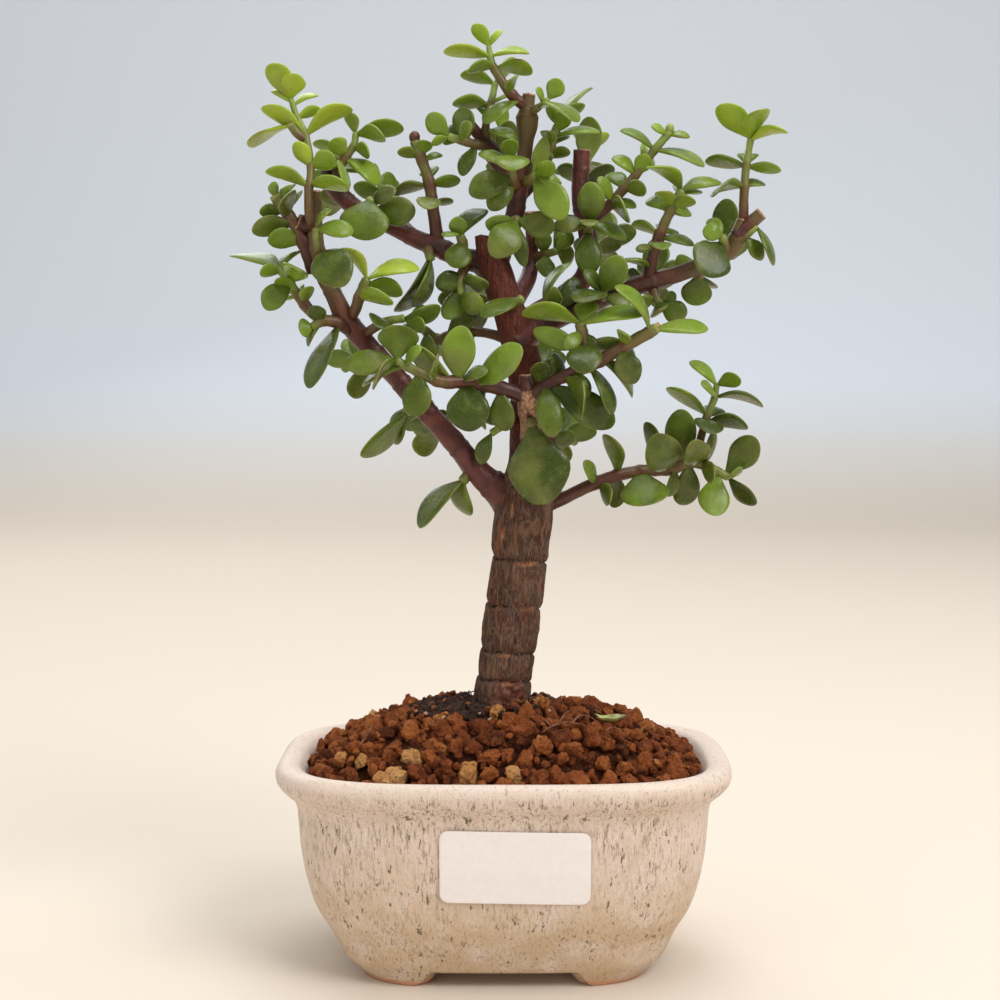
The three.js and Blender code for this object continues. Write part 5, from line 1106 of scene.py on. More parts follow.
@dataclass(frozen=True)
class LeafSkin:
    """A fleshy leaf's waxy skin: soft highlights, a faint bloom with fine pale dots, light that glows a little
    through the flesh, yellow-green while young, and a thin paler rim that is brown here and there."""

    shades: tuple[tuple[float, str], ...] = ((0.0, "#3d4a17"), (0.25, "#58691f"), (0.5, "#718a2a"), (0.8, "#849f2b"),
                                             (1.0, "#a0b435"))
    olive: str = "#7d7f42"
    bloom: str = "#929d57"
    dot: str = "#b3bf86"
    blemish: str = "#39401d"
    rim: str = "#a9b565"
    brown: str = "#8b5a3a"
    glow: tuple[float, float, float] = (0.7, 1.0, 0.2)

    def build(self) -> Material:
        """The material. tint is a leaf's youth, and rim is near 1 at its edge."""
        s = Surface("waxy leaf skin", 0.3, 1.45, Subsurface_Weight=0.16, Subsurface_Scale=0.0012,
                    Subsurface_Radius=self.glow, Specular_IOR_Level=0.33)
        youth, edge = (s.add("Attribute", output="Fac", attribute_name=key) for key in ("tint", "rim"))
        colour = s.add("ValToRGB", {0: s.plus(youth, s.swing(s.noise(7, 2), 0.55))}, stops=self.shades)
        colour = s.over(colour, s.noise(11, 2, 0.5, 33), 0.46, 0.72, self.olive, 0.5)
        colour = s.over(colour, s.noise(4, 3, 0.6, 3), 0.5, 0.78, self.bloom, 0.22)
        colour = s.over(colour, s.cells(0.62), 0.3, 0.14, self.dot, 0.13)
        colour = s.over(colour, s.cells(4.5, 13), 0.08, 0.04, self.blemish, 0.5)
        colour = s.over(colour, edge, 0.5, 1.0, self.rim, 0.3)
        patchy = s.share(s.noise(8, 2, 0.5, 21), 0.53, 0.66, 0.65)
        colour = s.over(colour, edge, 0.5, 1.0, self.brown, 1.0, (patchy,))
        return s.finish(colour, s.noise(2.0), 0.16, s.plus(0.15, s.noise(3, 3), 0.24))


@dataclass(frozen=True)
class PlainFinish:
    """A finish of one colour with a faint grain.

    Attributes:
        name: what the real material is.
        colour: its colour.
        other: the colour of its grain.
        roughness: its roughness.
        ior: its refractive index.
        grain: size of the grain in mm.
        deep: depth of the grain's relief in mm.
    """

    name: str
    colour: str
    other: str
    roughness: float
    ior: float
    grain: float
    deep: float

    def build(self) -> Material:
        """The material."""
        s = Surface(self.name, self.roughness, self.ior)
        grain = s.noise(self.grain)
        return s.finish(s.over(self.colour, grain, 0.42, 0.6, self.other), grain, self.deep)


# Satin paper with a smooth coat, which keeps it evenly white.
LABEL_PAPER = PlainFinish("coated label paper", "#f2eae7", "#f0e7e3", 0.5, 1.5, 2.0, 0.01)
# Moulded polypropylene net: black, with a dull sheen.
SCREEN_PLASTIC = PlainFinish("moulded black net", "#17181a", "#222326", 0.5, 1.49, 1.0, 0.02)
# A withered leaf: leathery, yellow-green going grey-brown.
DRY_LEAF = PlainFinish("withered leaf", "#b0b268", "#6a6740", 0.55, 1.45, 4.5, 0.3)
# Thin roots: dry, reddish and stringy.
ROOT_SKIN = PlainFinish("dry rootlet", "#61351f", "#8b5a40", 0.7, 1.45, 1.5, 0.1)


@dataclass
class Pot:
    """The glazed pot: bellied walls under a rolled lip, four soft feet and a drain hole.

    Attributes:
        ratio: depth over width.
        square: how square its plan is, the power of its superellipse.
        outside: rows of half width and height, from the lower edge up to the lip.
        inside: the same from the lip down to the floor.
        floor: height of the floor.
        recess: height of the underside inside the lower edge.
        foot: middle of the right back foot.
        foot_half: its half sizes.
        pinch: how far the wall is drawn in at the bottom of a foot, as a share.
        drain: radius of the drain hole.
        around: points round the pot.
    """

    ratio: float = 0.66
    square: float = 3.5
    outside: tuple = ((43.8, -0.2), (45.8, 2.6), (49.8, 8), (53.6, 14), (56.3, 22), (57.9, 31), (58.7, 40),
                      (59.1, 44), (60.2, 46.4), (62.6, 48.6), (64.4, 50.8), (64.9, 52.8), (64.3, 54.8), (62.6, 55.9))
    inside: tuple = ((60.6, 56), (58.6, 55.3), (57.2, 53.4), (55.4, 49), (53, 31), (49.5, 18), (45, 9.6), (40, 5.9))
    floor: float = 5.8
    recess: float = 0.8
    foot: tuple = (30.8, 17.8)
    foot_half: tuple = (13.0, 11.4)
    pinch: float = 0.055
    drain: float = 7.0
    around: int = 288

    def plan(self) -> Array:
        """Evenly spaced points round the plan, whose half width is 1.

        A superellipse has x = cos^(2/n) and y = ratio sin^(2/n). It is drawn densely, and points are taken at
        equal steps of its length.
        """
        t = np.linspace(0, 2 * np.pi, 40001)
        c, s = np.cos(t), np.sin(t)
        return evenly(np.stack([np.sign(c) * abs(c) ** (2 / self.square),
                                self.ratio * np.sign(s) * abs(s) ** (2 / self.square)], -1), self.around)

    def on_foot(self, x: Array, y: Array) -> Array:
        """1 on a foot and 0 off it, eased by the distance in the foot's own superellipse."""
        dx = (abs(x) - self.foot[0]) / self.foot_half[0]
        dy = (abs(y) - self.foot[1]) / self.foot_half[1]
        d = (abs(dx) ** 2.6 + abs(dy) ** 2.6) ** (1 / 2.6)
        return 1 - ease(0.78, 1.14, d)

    def wall(self, x: Array | float, z: Array | float) -> Array:
        """The y of the front of the wall at x and a height."""
        a = np.interp(z, [row[1] for row in self.outside], [row[0] for row in self.outside])
        return -self.ratio * a * (1 - np.clip(abs(x) / a, 0, 1) ** self.square) ** (1 / self.square)

    def share(self, x: Array, y: Array, a: float) -> Array:
        """How far out a point is, from 0 in the middle to 1 on the plan of half width a."""
        return ((abs(x) / a) ** self.square + (abs(y) / (a * self.ratio)) ** self.square) ** (1 / self.square)

    def build(self) -> None:
        """One closed grid: up the outside, over the lip, down the inside, through the drain hole and back out
        along the underside.

        Its rows are half widths and heights. The plan turns into a circle towards the hole. Above the feet the
        wall is stretched down to them and drawn in, and inside it they stand out of the underside. Smooth lumps
        of 19 and 7 mm make the outside a little uneven.
        """
        flat = self.plan()
        profile = smooth_path(np.array([(a, 0, z) for a, z in self.outside + self.inside]), 0.8)[:, [0, 2]]
        floor = [(a, self.floor) for a in np.linspace(38.5, 9, 18)]
        hole = [(self.drain + 0.5, self.floor - 0.1), (self.drain, self.floor - 0.8), (self.drain, 3.4),
                (self.drain, self.recess + 0.8), (self.drain + 0.5, self.recess + 0.1)]
        under = [(a, self.recess) for a in np.linspace(9, 40, 56)]
        edge = [(41, 0.68), (42, 0.36), (43, 0.0)]
        rows = np.concatenate([profile, floor, hole, under, edge])
        circle = unit(flat * [1, 1 / self.ratio])
        turning = ease(34, 9, rows[:, 0])[:, None, None]
        turning[:len(profile)] = 0
        points = np.empty((len(rows), self.around, 3))
        points[..., :2] = rows[:, None, :1] * (flat * (1 - turning) + circle * turning)
        points[..., 2] = rows[:, 1:2]
        x, y, z = points[..., 0], points[..., 1], points[..., 2]
        outer = np.arange(len(rows)) < np.argmax(rows[:, 1])
        rim = self.on_foot(42 * flat[:, 0], 42 * flat[:, 1])[None, :]
        fall = rim * (FEET_HIGH - 0.2) * (1 - ease(-0.2, 10, z)) * outer[:, None]
        below = (np.arange(len(rows)) >= len(profile) + len(floor) + len(hole))[:, None]
        near_edge = ease(37, 43, rows[:, 0])[:, None] * below
        foot = self.on_foot(x, y) * below * (1 - near_edge) + rim * near_edge
        z[:] = np.where(below, z * (1 - foot) - FEET_HIGH * foot, z - fall)
        inward = (1 - ease(-FEET_HIGH, 2.0, z)) * (outer | (rows[:, 0] > 40.5))[:, None] * rim
        points[..., :2] *= 1 - self.pinch * inward[..., None]
        round_it = unit(points[..., :2])
        points[..., :2] += round_it * (0.25 * lumps(points, 19, 3) + 0.09 * lumps(points, 7, 4))[..., None] \
            * outer[:, None, None]
        shell = Shell(points.reshape(-1, 3), grid_quads(len(rows), self.around, True), NO_TRIANGLES,
                      np.zeros(x.size), np.zeros(x.size))
        make_piece("glazed_pot", [shell.outward()], [Glaze().build()], "pot")


@dataclass
class Label:
    """The blank paper label on the front of the pot.

    Attributes:
        x: place of its middle along the wall.
        z: height of its middle.
        wide: its width.
        high: its height.
        corner: radius of its corners.
        tilt: rise of its edges to the right.
        proud: how far its face and its back stand out from the wall.
    """

    x: float = 3.0
    z: float = 32.6
    wide: float = 41.0
    high: float = 20.4
    corner: float = 2.4
    tilt: float = -0.018
    proud: tuple = (0.62, 0.36)

    def outline(self, count: int) -> Array:
        """Evenly spaced points round a rectangle with round corners: four arcs, joined by straight edges."""
        angle = np.linspace(0, np.pi / 2, 13)
        half = np.array([self.wide / 2 - self.corner, self.high / 2 - self.corner])
        arcs = []
        for k, sign in enumerate(((1, 1), (-1, 1), (-1, -1), (1, -1))):
            turn = angle + k * np.pi / 2
            arcs.append(half * sign + self.corner * np.stack([np.cos(turn), np.sin(turn)], -1))
        return evenly(np.concatenate(arcs + [arcs[0][:1]]), count)

    def build(self, pot: Pot) -> None:
        """A thin sheet on the wall: rings from the middle out along its front and back in along its back."""
        out = np.linspace(0.04, 0.97, 16)
        share = np.concatenate([out, [0.995, 1.0, 0.995], np.linspace(0.97, 0.04, 16)])
        face, back = self.proud
        off = np.concatenate([np.full(16, face), [0.6, 0.5, 0.4], np.full(16, back)])
        flat = share[:, None, None] * self.outline(160)
        x = self.x + flat[..., 0]
        z = self.z + flat[..., 1] + flat[..., 0] * self.tilt
        rings = np.stack([x, pot.wall(x, z) - off[:, None], z], -1)
        ends = [np.array([self.x, pot.wall(self.x, self.z) - depth, self.z]) for depth in self.proud]
        make_piece("paper_label", [ring_stack(rings, *ends)], [LABEL_PAPER.build()], "label")


@dataclass
class Soil:
    """The clay soil: a low mound and the loose grains that cover it.

    Attributes:
        wall: half width of the soil at its edge.
        edge: height of the soil at the wall.
        rise: how much higher it is in the middle.
        power: how flat its middle is.
        settled: how much lower it is behind the trunk.
        sizes: passes of grains, each the least and greatest width and how many places are tried.
        fine: width from which a grain gets the finer mesh.
        bed: how far the mound lies under the surface that its grains follow.
        planes: how many planes cut a grain.
        cut: how near its middle they may come, as shares of its radius.
        tan: large tan grains: x, y and width.
        white: white crumbs: x, y.
    """

    wall: float = 55.4
    edge: float = 52.6
    rise: float = 17.6
    power: float = 3.4
    settled: float = 2.6
    sizes: tuple = ((5.0, 7.2, 900), (3.8, 5.0, 2600), (2.6, 3.8, 5200), (1.5, 2.5, 6400))
    fine: float = 3.8
    bed: float = 3.0
    planes: int = 7
    cut: tuple = (0.45, 0.86)
    tan: tuple = ((-30.3, -31.3, 6.4), (-9.4, -32.2, 5.6), (2.8, -32.8, 5.0), (-25, -26.5, 7.0), (-39.5, -25.5, 5.0),
                  (-46, -19, 4.0), (-34, -32, 3.6), (14, 12, 4.4), (-38, 14, 4.6), (33, 20, 4.2))
    white: tuple = ((-22, -14), (-17, -17.5), (-7, -15.5), (-4, -19), (-25, -10.5), (13, -13.5))

    def height(self, pot: Pot, x: Array, y: Array) -> Array:
        """Height of the mound: the edge's, and its rise less by the share of the way out to a power. It has
        settled a little behind the trunk."""
        full = self.edge + self.rise * (1 - np.clip(pot.share(x, y, self.wall), 0, 1) ** self.power)
        return full - self.settled * ease(4, 22, y) * ease(self.edge, self.edge + 9, full)

    def places(self, pot: Pot) -> tuple[Array, Array]:
        """Middles and widths of grains that lie close together, the tan ones first: passes from large to small,
        where a place is kept if it is clear of the grains before it by 0.82 of the two half widths."""
        draw = np.random.default_rng(SEED + 10)
        kept, widths = np.split(np.array(self.tan), [2], axis=1)
        widths, wall = widths[:, 0], self.wall + 0.8
        for least, most, tries in self.sizes:
            spots = draw.uniform(-1, 1, (tries, 2)) * [wall, wall * pot.ratio]
            sizes = draw.uniform(least, most, tries)
            room = pot.share(*spots.T, wall) < 1 - sizes / 2 / self.wall
            room &= np.hypot(spots[:, 0] + 0.8, spots[:, 1]) > 9.5 + sizes / 2
            for spot, size in zip(spots[room], sizes[room]):
                if np.all(np.linalg.norm(kept - spot, axis=1) > 0.41 * (widths + size)):
                    kept = np.vstack([kept, spot])
                    widths = np.append(widths, size)
        return kept, widths

    @staticmethod
    def ball(cuts: int) -> tuple[Array, Array]:
        """The points and faces of an icosahedron, each face cut in four some times over, pushed out to a ball."""
        g = (1 + 5**0.5) / 2
        p = unit(np.array([(-1, g, 0), (1, g, 0), (-1, -g, 0), (1, -g, 0), (0, -1, g), (0, 1, g), (0, -1, -g),
                           (0, 1, -g), (g, 0, -1), (g, 0, 1), (-g, 0, -1), (-g, 0, 1)], float))
        f = np.array([(0, 11, 5), (0, 5, 1), (0, 1, 7), (0, 7, 10), (0, 10, 11), (1, 5, 9), (5, 11, 4),
                      (11, 10, 2), (10, 7, 6), (7, 1, 8), (3, 9, 4), (3, 4, 2), (3, 2, 6), (3, 6, 8), (3, 8, 9),
                      (4, 9, 5), (2, 4, 11), (6, 2, 10), (8, 6, 7), (9, 8, 1)])
        for _ in range(cuts):
            pairs = np.sort(np.concatenate([f[:, [0, 1]], f[:, [1, 2]], f[:, [2, 0]]]), axis=1)
            edges, which = np.unique(pairs, axis=0, return_inverse=True)
            ab, bc, ca = which.reshape(3, -1) + len(p)
            a, b, c = f.T
            f = np.concatenate([np.stack(t, -1) for t in ((a, ab, ca), (ab, b, bc), (ca, bc, c), (ab, bc, ca))])
            p = np.concatenate([p, unit(p[edges].mean(1))])
        return p, f

    def grains(self, middles: Array, widths: Array, seed: int, shade: Array | None = None, dark: float = 0.0,
               cuts: int = 1, look: int = 0) -> Shell:
        """Lumpy angular grains, all of them as one array.

        A grain is a ball stretched by three drawn factors, whose radius along a way is cut by drawn planes: the least
        of 1 and plane distance over the way's share along the plane's normal. Smooth lumps of two sizes then roughen
        it. Each is turned by a drawn rotation and shaded by one drawn value, with painted shade in its hollows and
        painted light on its lumps.

        Args:
            middles: the grains' middles.
            widths: their widths.
            seed: number of the draw.
            shade: their shades from 0 to 1, or nothing for drawn ones.
            dark: how much of the drawn shades' range is given up, to paint shade on the grains that lie low in the
                gaps.
            cuts: how often the ball's faces are cut in four.
            look: which finish they take.

        Returns:
            One shell of all of them.
        """
        draw = np.random.default_rng(seed)
        ways, faces = self.ball(cuts)
        n = len(middles)
        planes = unit(draw.normal(size=(n, self.planes, 3)))
        reach = draw.uniform(*self.cut, (n, self.planes))
        along = np.einsum("vk,npk->nvp", ways, planes)
        cut = np.where(along > 0.05, reach[:, None] / np.maximum(along, 0.05), np.inf).min(2)
        own = ways[None] + 40 * draw.normal(size=(n, 1, 3))
        crumbs = 0.2 * lumps(own, 0.55, seed + 1) + 0.17 * lumps(own, 0.26, seed + 2)
        radius = np.minimum(1, cut) * (1 + crumbs)
        body = ways[None] * radius[..., None] * draw.uniform(0.75, 1.2, (n, 1, 3))
        turn = np.linalg.qr(draw.normal(size=(n, 3, 3)))[0]
        turn *= np.sign(np.linalg.det(turn))[:, None, None]
        body = np.einsum("nvk,nkj->nvj", body, turn) * (widths / 2)[:, None, None] * 1.24
        drawn = np.clip(draw.beta(2.6, 2.4, n) * 0.85 * (1 - dark) + 0.03 * draw.normal(size=n), 0, 0.9)
        shade = drawn if shade is None else np.where(shade > 0, shade, drawn)
        numbers = (faces[None] + (np.arange(n) * len(ways))[:, None, None]).reshape(-1, 3)
        # The tint follows the lumps: painted shade in the hollows and painted light on the bumps, much less on the tan
        # grains.
        tint = np.clip(shade[:, None] + crumbs * np.where(shade[:, None] < 0.84, 0.9, 0.1), 0, 1).ravel()
        points = (body + middles[:, None]).reshape(-1, 3)
        return Shell(points, NO_QUADS, numbers, tint, np.zeros(len(points)), look, smooth=False)

    def build(self, pot: Pot, collar: "PeatCollar") -> None:
        """The mound, as rings from the drain screen up its sides and in over its top, and two layers of
        grains on it. Grains to the front, to the right and behind lie over the peat, and those under the
        withered leaf lie a little lower.

        Args:
            pot: the pot that holds it.
            collar: the peat round the trunk.
        """
        sides = [(40.4, 6.2), (49, 18), (52.5, 31), (54.9, 49), (54.9, self.edge - 1.2)]
        rows = np.array(sides + [(a, 0) for a in np.linspace(54.3, 1.5, 30)])
        flat = pot.plan()[::3]
        rings = np.empty((len(rows), len(flat), 3))
        rings[..., :2] = rows[:, None, :1] * flat
        rings[..., 2] = rows[:, 1:]
        over = rings[len(sides):]
        over[..., 2] = self.height(pot, over[..., 0], over[..., 1]) - self.bed
        # The mound's tint of 0.05 is near the darkest shade: painted shade where it shows between the grains.
        mound = ring_stack(rings, UP * sides[0][1], UP * (self.edge + self.rise - self.bed), 0.05)
        spots, widths = self.places(pot)
        x, y = spots.T
        draw = np.random.default_rng(SEED + 11)
        # A grain's top is 0.6 mm over the surface, give or take 0.8, and up to 1.2 mm higher at the wall.
        z = self.height(pot, x, y) + 0.6 - 0.5 * widths + 0.8 * draw.uniform(-1, 1, len(spots))
        z += 1.2 * ease(0.86, 0.98, pot.share(x, y, self.wall))
        front, behind = ease(-9, 0, x) * ease(2, -5, y), ease(1, 5, y) * ease(-7, -11, x)
        z += (collar.above(spots) + 0.9) * np.maximum(front, np.maximum(behind, ease(13, 17, x)))
        z -= 0.9 * ease(1.1, 0.6, np.hypot((x - 30.5) / 7, (y + 17.5) / 6))
        # A shade of 0 is drawn by the grains themselves.
        shade = np.zeros(len(spots))
        shade[:len(self.tan)] = draw.uniform(0.85, 0.94, len(self.tan))
        places = np.column_stack([spots, z])
        large = widths >= self.fine
        shells = [mound, self.grains(places[large], widths[large], SEED + 12, shade[large], cuts=2),
                  self.grains(places[~large], widths[~large], SEED + 14, shade[~large])]
        # Grains below fill the gaps, made darker: painted shade under the grains above.
        below = draw.uniform(-1, 1, (760, 2)) * [self.wall, self.wall * pot.ratio]
        below = below[(pot.share(*below.T, self.wall) < 0.97) & (np.hypot(*below.T) > 12)]
        size = draw.uniform(2.4, 4.0, len(below))
        z = self.height(pot, *below.T) - 1.9 - 0.4 * size
        shells.append(self.grains(np.column_stack([below, z]), size, SEED + 13, dark=0.5))
        white = np.array(self.white)
        z = self.height(pot, *white.T) + 0.9
        shells.append(self.grains(np.column_stack([white, z]), draw.uniform(0.8, 1.2, len(z)), SEED + 15,
                                  np.full(len(z), 0.97)))
        make_piece("clay_grains", shells, [ClayGrain().build()], "soil")


@dataclass
class PeatCollar:
    """The dark peat round the foot of the trunk, with crumbs and rootlets.

    Attributes:
        middle: its middle.
        reach: how far it goes left, right, front and back.
        rings: heights and shares of that reach.
        roots: thin roots that lie over the clay: x, y and height above it.
    """

    middle: tuple = (-1.0, -1.0)
    reach: tuple = (26.0, 17.0, 17.0, 14.0)
    rings: tuple = ((62, 0.72), (65, 0.93), (67.2, 1.0), (68.6, 0.92), (69.7, 0.74), (70.6, 0.5), (71.0, 0.3))
    roots: tuple = (
        ((10.5, -24.5, 0.5), (13.5, -23.4, 1.6), (17, -22.3, 1.9), (20.5, -21.8, 1.5), (25, -21.6, 0.6)),
        ((15, -23, 1.7), (17, -19.5, 2.4), (18.2, -16.5, 1.8), (18.6, -14.5, 0.6)),
        ((19, -22, 1.8), (21.4, -19.2, 2.2), (24.6, -18.4, 1.5), (26.5, -19, 0.4)),
        ((13, -23.6, 1.5), (11.4, -21.6, 1.8), (8.6, -21.4, 0.7)),
        ((-40, -22, 0.6), (-37.5, -19.5, 2.1), (-36.8, -17, 1.8), (-35.5, -15.4, 0.5)),
        ((28, -22, 0.6), (30.5, -21.2, 1.7), (33, -21.6, 0.8)),
    )

    def above(self, spots: Array) -> Array:
        """How high the peat stands over the clay at rows of x, y: by the share of its reach."""
        off = spots - np.array(self.middle)
        return np.interp(np.hypot(*(off / self.reach_of(off)).T), [0.3, 0.75, 1.05], [1.0, 0.6, -0.6])

    def reach_of(self, off: Array) -> Array:
        """Its reach along x and along y on the side where a point lies off its middle."""
        left, right, front, back = self.reach
        return np.where(off < 0, [left, front], [right, back])

    def build(self, pot: Pot, soil: Soil) -> None:
        """A lumpy mound of rings whose reach changes smoothly round it, then crumbs of peat and rootlets.

        The rings' profile is smoothed at a reach of 20 mm. Where the clay shows in front and behind, only a few
        crumbs are kept. A loose rootlet has five points: each step turns by a drawn bend, and its middle stands
        up to 1.7 mm over the peat while its ends go into it.
        """
        angle, long = turns(120), 20
        ways = np.stack([np.cos(angle), np.sin(angle)], -1)
        rough = 1 + 0.07 * lumps(np.column_stack([ways, 0 * angle]), 0.35, 21)
        out = self.reach_of(ways) * ways * rough[:, None]
        rows = smooth_path(np.array([(share * long, 0, z) for z, share in self.rings]), 0.5)[:, [0, 2]]
        rings = np.empty((len(rows), len(angle), 3))
        rings[..., :2] = np.array(self.middle) + out[None] * rows[:, None, :1] / long
        drop = soil.height(pot, rings[..., 0], rings[..., 1]) - soil.edge - soil.rise
        rings[..., 2] = rows[:, 1:2] + drop
        lumpy = 0.7 * lumps(rings, 2.6, 22) + 0.35 * lumps(rings, 1.1, 23)
        rings += lumpy[..., None] * [0.4, 0.4, 1.0]
        start, end = (np.array([*self.middle, z]) for z in (61.5, 70.8))
        draw = np.random.default_rng(SEED + 20)
        tries, kept_open = 1100, 0.16
        spot = draw.uniform(-1, 1, (tries, 2))
        spot = spot[np.hypot(*spot.T) < 1]
        place = np.array(self.middle) + spot * self.reach_of(spot) * 1.03
        place = place[np.hypot(*place.T) > 9]
        open_side = ((place[:, 0] > -6) & (place[:, 1] < -2)) | (place[:, 1] > 4)
        place = place[~open_side | (draw.random(len(place)) < kept_open)]
        z = soil.height(pot, *place.T) + self.above(place) + draw.uniform(-1.1, 0.2, len(place))
        crumbs = soil.grains(np.column_stack([place, z]), draw.uniform(0.9, 2.8, len(place)), SEED + 21)
        roots = []
        for knots in self.roots:
            knots = np.array(knots, float)
            knots[:, 2] += soil.height(pot, knots[:, 0], knots[:, 1]) + 0.5
            rows = np.column_stack([knots, np.linspace(0.28, 0.14, len(knots))])
            roots.append(tube(smooth_path(rows, 0.7), 6, look=1))
        for k in range(22):
            at = np.array(self.middle) + draw.uniform(-1, 1, 2) * [17, 10] + [-6 if k % 3 else 12, -2]
            turn = draw.uniform(0, 2 * np.pi) + draw.uniform(-0.6, 0.6) * np.arange(5)
            xy = at + np.cumsum(np.stack([np.cos(turn), np.sin(turn)], -1) * draw.uniform(0.9, 2.2), axis=0)
            lift = np.array([-0.8, 0.7, 1.3, 0.9, -0.6]) * draw.uniform(0.5, 1.3)
            base = soil.height(pot, *xy.T) + self.above(xy)
            knots = np.column_stack([xy, base + lift, np.linspace(0.26, 0.13, 5)])
            roots.append(tube(smooth_path(knots, 0.8), 5, look=int(k % 3 == 0)))
        shells = [ring_stack(rings, start, end), crumbs, *roots]
        make_piece("peat_and_roots", shells, [Peat().build(), ROOT_SKIN.build()], "peat_collar")


@dataclass
class Wood:
    """The ringed trunk and the smooth limbs.

    Attributes:
        girth: heights and radii of the trunk below its first limb.
        rings: heights of the bark rings at the trunk's middle.
        sag: how far the rings fall to the right, in mm.
        usual: the trunk's radius, by which a spot's place across the front becomes an angle.
        around: points round the trunk.
        step: distance between its rings of points.
        eyes: old limb scars as place across the front, height, half width and half height.
        peels: peeled spots, the same, with how pale they are.
        torn: the spot at its foot where bark was torn off and has healed dark red.
        stubs: dried stubs as points and radii.
        olive: how olive each limb is at its end.
        bare: a limb and the stretch of it whose bark has scaled off.
    """

    girth: tuple = ((34, 4), (48, 7.5), (62, 8.6), (71, 8.2), (75.5, 8.1), (76.9, 7.85), (77.3, 7.4), (78.6, 7.7),
                    (81.5, 7.9), (84.3, 7.8), (85.1, 7.6), (85.5, 7.35), (87.5, 7.85), (92, 8.1), (96, 8.0),
                    (98.2, 7.8), (98.6, 7.45), (100.5, 8.05), (106, 8.1), (110.5, 7.9), (111.7, 7.75), (112.1, 7.4),
                    (114, 8.1), (121, 8.4), (128, 8.6))
    rings: tuple = (77.3, 85.5, 98.6, 112.1)
    sag: float = 0.9
    usual: float = 8.1
    around: int = 172
    step: float = 0.42
    eyes: tuple = ((1.1, 122.2, 1.45, 1.5), (4.0, 122.0, 1.0, 2.0), (-1.5, 159.5, 1.3, 1.6), (-5.2, 92, 0.9, 0.9))
    peels: tuple = ((-6.3, 119.0, 1.7, 5.5, 0.8), (2.2, 111.4, 3.6, 0.7, 1.0), (4.7, 98.4, 2.8, 0.6, 1.0),
                    (-4.5, 98.7, 1.4, 0.4, 0.9), (-1.5, 85.1, 2.6, 0.45, 0.9), (1.5, 76.8, 3.0, 0.5, 0.7),
                    (6.8, 105.0, 0.5, 3.4, 0.7), (-3.2, 126.6, 0.7, 2.3, 0.8))
    torn: tuple = (2.0, 72.4, 5.4, 5.0)
    stubs: tuple = (((-53.8, -8, 206.6, 2.2), (-56.3, -8.8, 207.6, 2.35), (-58.4, -9.4, 208.4, 2.2)),
                    ((-49.6, 6.6, 218.5, 1.7), (-50.1, 6.2, 221.8, 1.7), (-50.2, 6.2, 223.4, 1.5)),
                    ((-45.4, 6.5, 216.6, 1.6), (-45.7, 5.4, 219.6, 1.6), (-45.8, 5.2, 221.0, 1.4)))
    olive: tuple = (0.7, 0.2, 1.0, 0.1, 0.0, 0.75, 0.9, 0.3, 0.2)
    bare: tuple = (7, 0.2, 0.8)

    @staticmethod
    def spot(points: Array, middle: Array, across: float, height: float, wide: float, high: float) -> Array:
        """Distance from a spot on the front of the trunk, in the spot's own half sizes; 1 is its edge.

        Args:
            points: the trunk's points as (ring, place round it, xyz).
            middle: x of the trunk's middle line at each ring.
            across: the spot's place across the front.
            height: its height.
            wide: its half width, measured round the trunk.
            high: its half height.

        Returns:
            One value a point.
        """
        x, y = points[..., 0] - middle, points[..., 1]
        r = np.hypot(x, y)
        turn = np.arctan2(x, -y) - math.asin(across / Wood.usual)
        turn = (turn + np.pi) % (2 * np.pi) - np.pi
        return np.hypot(r * turn / wide, (points[..., 2] - height) / high)

    def trunk(self) -> Shell:
        """The trunk: middle line and radius by height, with bark relief and tilted rings.

        The relief is a net of ridges, 1 less the size of smooth lumps that are long upright and narrow round
        it, on flakes a few millimetres wide and slow swellings. Each ring is a shoulder in the girth with a
        thin crease under it. Scars are ovals with a raised rim and a sunk middle.
        """
        table = np.array(TRUNK, float)
        z = np.arange(table[0, 0], table[-1, 0], self.step)
        fine = np.stack([np.interp(z, table[:, 0], table[:, k]) for k in (1, 2)], -1)
        kernel = np.hanning(21)
        kernel /= kernel.sum()
        soft = np.stack([np.convolve(np.pad(row, len(kernel) // 2, "edge"), kernel, "valid") for row in fine.T], -1)
        girth = np.interp(z, *np.array(self.girth).T)
        soft[:, 1] += (girth - soft[:, 1]) * ease(130, 126, z)
        angle = turns(self.around)
        c, s = np.cos(angle)[None], np.sin(angle)[None]
        wave = self.sag * c + 0.3 * np.sin(2 * angle + 0.6)[None] + 0.25 * np.sin(5 * angle + 0.02 * z[:, None])
        height = z[:, None] + wave * ease(72, 76, z)[:, None] * ease(200, 190, z)[:, None]
        x0 = np.interp(height, z, soft[:, 0])
        r = np.interp(height, z, soft[:, 1])

        def skin(radius: Array) -> Array:
            """The points at a radius by ring and place."""
            return np.stack([x0 + c * radius, s * radius, z[:, None] + 0 * radius], -1)

        flat = skin(r)
        old = ease(172, 128, z)[:, None]
        level = flat * [1, 1, 0.2]
        wavy = level + 0.5 * lumps(flat, 3.0, 30)[..., None] * [1, 1, 0]
        net = np.clip(1 - 2.6 * abs(lumps(wavy, 1.7, 31)), 0, 1)
        net = np.maximum(net, 0.8 * np.clip(1 - 3 * abs(lumps(wavy * [1, 1, 1.4], 1.15, 32)), 0, 1))
        flake = lumps(flat * [1, 1, 0.45], 3.2, 33)
        slow = lumps(flat * [1, 1, 0.4], 9, 34)
        crease = np.zeros_like(r)
        for ring in self.rings:
            crease += bell(height - ring, 0.32) * (0.8 + 0.3 * flake)
        relief = (0.06 + 0.26 * old) * (net - 0.4) + 0.2 * (0.3 + old) * flake + 0.3 * slow - 0.5 * crease
